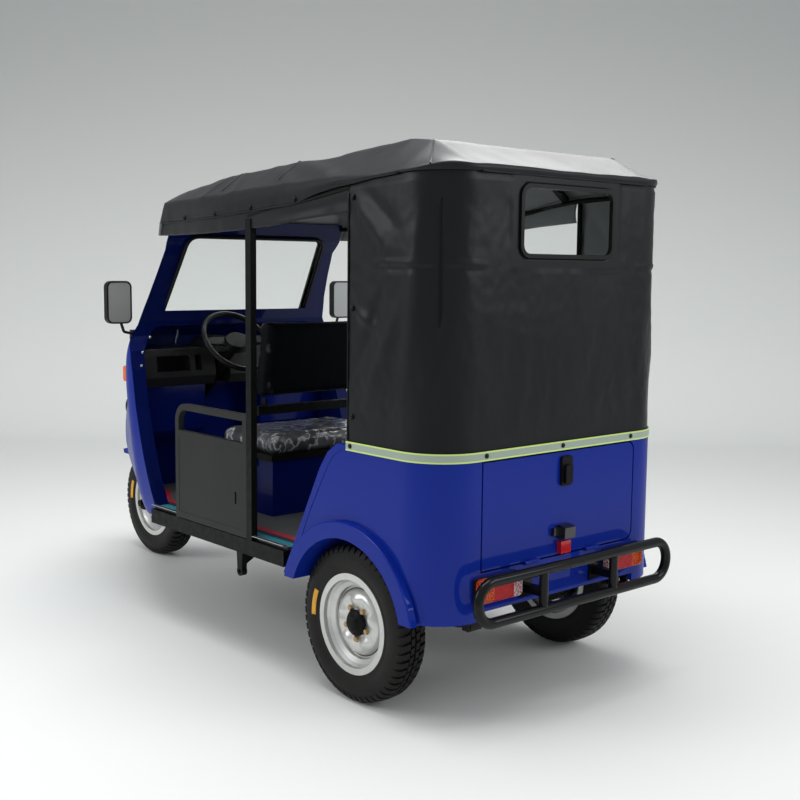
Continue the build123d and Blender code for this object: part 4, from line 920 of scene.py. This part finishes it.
columns, levels = 200, 96
points = []
for i in range(columns + 1):
    s = path_length * i / columns
    spot, out = curtain_spot(s)
    for j in range(levels + 1):
        z = 866 + (curtain_top(spot.y) - 866) * j / levels
        shift = curtain_swell(s, z) - 4.0 - (4.0 if j > levels - 3 else 0)
        if spot.y > 425 and abs(spot.x) < 262 and abs(z - 1585) < 150:
            shift = -3.0
        if shift > 2.0:
            shift = min(shift, 5.0 - 2.0 * math.exp(2.0 - shift))
        p = spot + out * max(-14.0, shift)
        points.append((p.x, p.y, z))
faces = []
for f in lattice(columns + 1, levels + 1):
    x, z = (sum(points[v][i] for v in f) / 4 for i in (0, 2))
    if not (points[f[0]][1] > 400 and in_window(x, z, 5)):
        faces.append(f)
curtain = tidy(piece("curtain_cloth", solve(points), faces, curtain_vinyl))
outward = sum(f.normal.x * f.center.x + f.normal.y * (f.center.y - REAR) for f in curtain.data.polygons)
if outward < 0:
    curtain.data.flip_normals()
curtain.data.materials.append(lining.material)
# The length is the path round the three sides. The height is worked back from the mesh's own area.
area = line_with(curtain, 0.002)
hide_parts("rear_curtain")
print("curtain", len(curtain.data.polygons), "faces, area", round(area, 2))

# %% [markdown]
# ## Hems, piping and snaps

# %%
edge_look = vinyl_look("hem_band", (0.007, 0.0078, 0.0085))


def on_roof(x, y, lift=1.0):
    return (x, y, roof_height(x, y) + lift)


def sewn(name, route, radius=0.0022, look=edge_look):
    points, faces = pipe([Vector(p) for p in solve(route)], radius)
    return piece(name, points, faces, look)


for side, label in ((1, "left"), (-1, "right")):
    seam = [on_roof(side * (428 + 6.6 * i), 250 + 6.2 * i, 0.5) for i in range(18)]
    sewn("corner_piping_" + label, seam, 0.0028)
    for n, y in enumerate((-430, -790)):
        seam = [on_roof(side * x, y + (x - 400) * 0.12, 0.5) for x in range(-400, 560, 24)]
        if side == 1:
            sewn("panel_seam_%d" % n, seam, 0.0016)
    hem = [skirt_point((side * roof_half(y), y, roof_height(roof_half(y), y)), 1.0) for y in range(-1270, 266, 24)]
    sewn("hem_cord_" + label, hem, 0.0032)
rear_line = [(400 - 800 * i / 60, 430) for i in range(61)]
back_hem = [skirt_point((x, y, roof_height(x, y)), 1.0) for x, y in rear_line]
sewn("hem_cord_back", back_hem, 0.0032)
for side, label in ((1, "left"), (-1, "right")):
    sewn("curtain_edge_" + label, [(side * 563, 3, z) for z in range(868, 1700, 40)], 0.0028)

snap_points, snap_faces = dome(0.0095, 0.0065, 16)
spots = []
for side in (1, -1):
    for y in (-1062, -784, -546, -282):
        half = roof_half(y)
        z = float(np.interp(y, *hem_line)) + 12
        spots.append(((side * (half + 1) / 1000, REAR + y / 1000, z / 1000), facing((side, 0, 0))))
    for z in (1655, 1308, 960):
        spots.append(((side * 0.5645, REAR + 0.026, z / 1000), facing((side, 0, 0))))
repeat("snaps", spots, snap_points, snap_faces, rubber, slot="black_rubber", smooth=True)
spots = [((side * 0.568, REAR + 0.023, 0.865), facing((side, 0, 0))) for side in (1, -1)]
spots += [((x, REAR + 0.433, 0.865), facing((0, 1, 0))) for x in (0.36, 0.005, -0.35)]
repeat("strip_snaps", spots, *dome(0.008, 0.005, 14), rubber, slot="black_rubber", smooth=True)
print("hems and snaps done")

# %% [markdown]
# ## Seats
# The cushions and backs are swollen from a slightly smaller block by a short cloth simulation. Pressure
# pushes points several centimetres, so the cap on how far a point may move sets most of the shape. The
# clear film's folds are pushed in afterwards with noise.

# %%

def rounded_block(low, high, radius):
    """A block with rounded corners as a fine closed grid."""
    bm = bmesh.new()
    bmesh.ops.create_cube(bm, size=1.0)
    low, high = Vector(low), Vector(high)
    for v in bm.verts:
        v.co = Vector([low[i] if v.co[i] < 0 else high[i] for i in range(3)])
    bmesh.ops.bevel(bm, geom=bm.edges[:] + bm.verts[:], offset=radius, segments=4, profile=0.5, affect="EDGES")
    points = [v.co.copy() for v in bm.verts]
    faces = [tuple(v.index for v in f.verts) for f in bm.faces]
    bm.free()
    return points, faces


def lean_back(points, foot, slope):
    """Leans a block about its lower edge."""
    return [Vector((p.x, p.y + (p.z - foot) * slope, p.z)) for p in points]


def swell_pad(made, voxel, pressure, cap):
    """Remeshes a pad and lets pressure swell it, no point moving more than cap."""
    remesh = made.modifiers.new("remesh", "REMESH")
    remesh.mode = "VOXEL"
    remesh.voxel_size = voxel
    settle(made)
    rest = np.empty(len(made.data.vertices) * 3)
    made.data.vertices.foreach_get("co", rest)
    cloth = made.modifiers.new("cloth", "CLOTH")
    cloth.settings.use_pressure = True
    cloth.settings.uniform_pressure_force = pressure
    cloth.settings.effector_weights.gravity = 0
    cloth.settings.quality = 4
    cloth.settings.tension_stiffness = 20
    for frame_number in range(1, 16):
        scene.frame_set(frame_number)
    settle(made)
    scene.frame_set(1)
    swollen = np.empty(len(made.data.vertices) * 3)
    made.data.vertices.foreach_get("co", swollen)
    move = (swollen - rest).reshape(-1, 3)
    size = np.linalg.norm(move, axis=1, keepdims=True)
    move *= np.minimum(1.0, cap / np.maximum(size, 1e-9))
    made.data.vertices.foreach_set("co", (rest.reshape(-1, 3) + move).ravel())
    print(made.name, "swelled up to", round(float(size.max()) * 1000, 1), "mm")
    made.data.polygons.foreach_set("use_smooth", [True] * len(made.data.polygons))
    return made


def crumple(made, deep, scale, seed):
    """Pushes the film's sharp folds into a pad, along its normals."""
    for v in made.data.vertices:
        p = v.co * scale + Vector((seed, 2 * seed, 0))
        ridge = 1 - abs(noise.noise(p)) * 2.2
        ridge += 0.5 * (1 - abs(noise.noise(p * 2.3)) * 2.2)
        v.co += v.normal * deep * (ridge - 0.9)


F = -1230.5


def pad(name, low, high, radius, look, film, slope=0.0, cap=0.012, voxel=0.009):
    points, faces = rounded_block(low, high, radius)
    if slope:
        points = lean_back(points, low[2], slope)
    made = piece(name, points, faces, look)
    swell_pad(made, voxel, 3.0, cap)
    if film:
        crumple(made, film, 13.0, 3.1 + len(name))
    return made


seat_front, seat_back = (F + 1007) / 1000, (F + 1404) / 1000
front_cushion = pad("driver_cushion", (-0.292, seat_front + 0.008, 0.7025), (0.292, seat_back - 0.008, 0.767), 0.020,
                    seat_look, 0.0022)
rear_cushion = pad("rear_cushion", (-0.507, REAR - 0.180, 0.671), (0.507, REAR + 0.232, 0.741), 0.022,
                   seat_look, 0.0018)
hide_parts("seat_cushions")
front_back = pad("driver_back", (-0.292, (F + 1248) / 1000, 0.919), (0.292, (F + 1316) / 1000, 1.222), 0.020,
                 seat_cloth, 0.0, slope=0.155, cap=0.008)
rear_back = pad("rear_back", (-0.472, REAR + 0.252, 0.670), (0.472, REAR + 0.326, 1.170), 0.022,
                seat_cloth, 0.0, slope=0.088, cap=0.008)
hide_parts("seat_backrests")
print("seats", [len(p.data.polygons) for p in (front_cushion, rear_cushion, front_back, rear_back)])

# %% [markdown]
# ## Rim faces
# The pressed disc: a stepped edge, a dark cord of painted shade in the gap where the disc meets the rim, and five
# raised ribs.

# %%
# A near-black cord laid in the gap between disc and rim: painted shade, not a part of the wheel.
painted_gap_shade = Look("rim_painted_gap_shade", (0.02, 0.02, 0.02), 0.7)
painted_gap_shade.bump(painted_gap_shade.noise(200), 0.0005, 0.3)


def disc_face(name, place, body, side):
    """A disc with ribs between radius 52 and 112 mm, standing on the CAD disc."""
    around, out = 120, []
    radii = [0.050, 0.058, 0.066, 0.076, 0.086, 0.096, 0.104, 0.109, 0.112]
    crown = [0.0250, 0.0262, 0.0290, 0.0325, 0.0330, 0.0290, 0.0225, 0.0150, 0.0080]
    for k in range(around):
        a = 2 * math.pi * k / around
        rib = max(0.0, math.cos(2.5 * a) ** 2 - 0.35) / 0.65
        for r, s in zip(radii, crown):
            lift = 0.0065 * rib * math.exp(-((r - 0.072) / 0.016) ** 2)
            lift -= 0.0045 * (1 - rib) * math.exp(-((r - 0.078) / 0.012) ** 2)
            out.append(Vector(place) + Vector((side * (s + lift), r * math.sin(a), r * math.cos(a))))
    n = len(radii)
    faces = [(k * n + i, k * n + i + 1, (k + 1) % around * n + i + 1, (k + 1) % around * n + i)
             for k in range(around) for i in range(n - 1)]
    return tidy(piece(name, out, faces, rim_silver, body))


for end, node, place, body, side in wheels:
    disc_face("disc_" + end, place, body, side)
    points, faces = pipe([Vector(place) + Vector((side * 0.009, 0.1135 * math.sin(2 * math.pi * k / 60),
                                                  0.1135 * math.cos(2 * math.pi * k / 60))) for k in range(60)],
                         0.0022, 6, closed=True)
    piece("groove_" + end, points, faces, painted_gap_shade, body)
print("rims done")

# %% [markdown]
# ## Trims on the cab and the body
# The seal round the windscreen, the bright edge on the sill, the raised line on the rear corner and
# screws on the door flange.

# %%
low, high = Vector((0, FRONT + 0.646, 1.194)), Vector((0, FRONT + 0.866, 1.567))
up = (high - low).normalized()
inward = Vector((0, up.z, -up.y))


def rounded_ring(corners, radius, steps=6):
    """A closed route with rounded corners."""
    route = []
    n = len(corners)
    for i, corner in enumerate(corners):
        before = (corners[i - 1] - corner).normalized() * radius
        after = (corners[(i + 1) % n] - corner).normalized() * radius
        for k in range(steps + 1):
            t = k / steps
            route.append((1 - t) ** 2 * (corner + before) + 2 * t * (1 - t) * corner + t ** 2 * (corner + after))
    return route


corners = [(low, -0.377), (low, 0.377), (high, 0.349), (high, -0.349)]
seal = rounded_ring([level + Vector((half, 0, 0)) + inward * 0.020 for level, half in corners], 0.05)
points, faces = pipe(seal, 0.0085, 8, closed=True)
piece("screen_seal", points, faces, rubber)

sill_shine = Look("sill_trim", (0.55, 0.56, 0.55), 0.25, 0.9)
sill_shine.bump(sill_shine.noise(80), 0.0004, 0.1)
for side, label in ((1, "left"), (-1, "right")):
    x = side * 0.560
    trim = [(x + side * u, y, 0.4635 + w) for y in (REAR - 1.272, REAR - 0.352) for u, w in
            ((-0.012, 0), (0.0045, 0), (0.0045, 0.0018), (-0.012, 0.0018))]
    box_faces = [(0, 1, 2, 3), (7, 6, 5, 4), (0, 4, 5, 1), (1, 5, 6, 2), (2, 6, 7, 3), (3, 7, 4, 0)]
    piece("sill_trim_" + label, trim, box_faces,
          sill_shine, smooth=False)
    bead = [(side * 0.5648, REAR + y / 1000, z / 1000) for y, z in
            ((-310, 386), (-250, 508), (-189, 631), (-140, 716), (-100, 784), (-70, 822), (-37, 844), (20, 850),
             (200, 850))]
    points, faces = pipe(bead, 0.0022, 8)
    piece("bead_" + label, points, faces, paint)
spots = [((side * x / 1000, REAR - 1.399, z / 1000), facing((0, 1, 0))) for side in (1, -1)
         for x, z in ((491, 1140), (526, 1079), (532, 1024), (541, 801))]
repeat("flange_screws", spots, *dome(0.0055, 0.0035, 10), sill_shine, slot="bare_steel", smooth=True)

print("trims done")
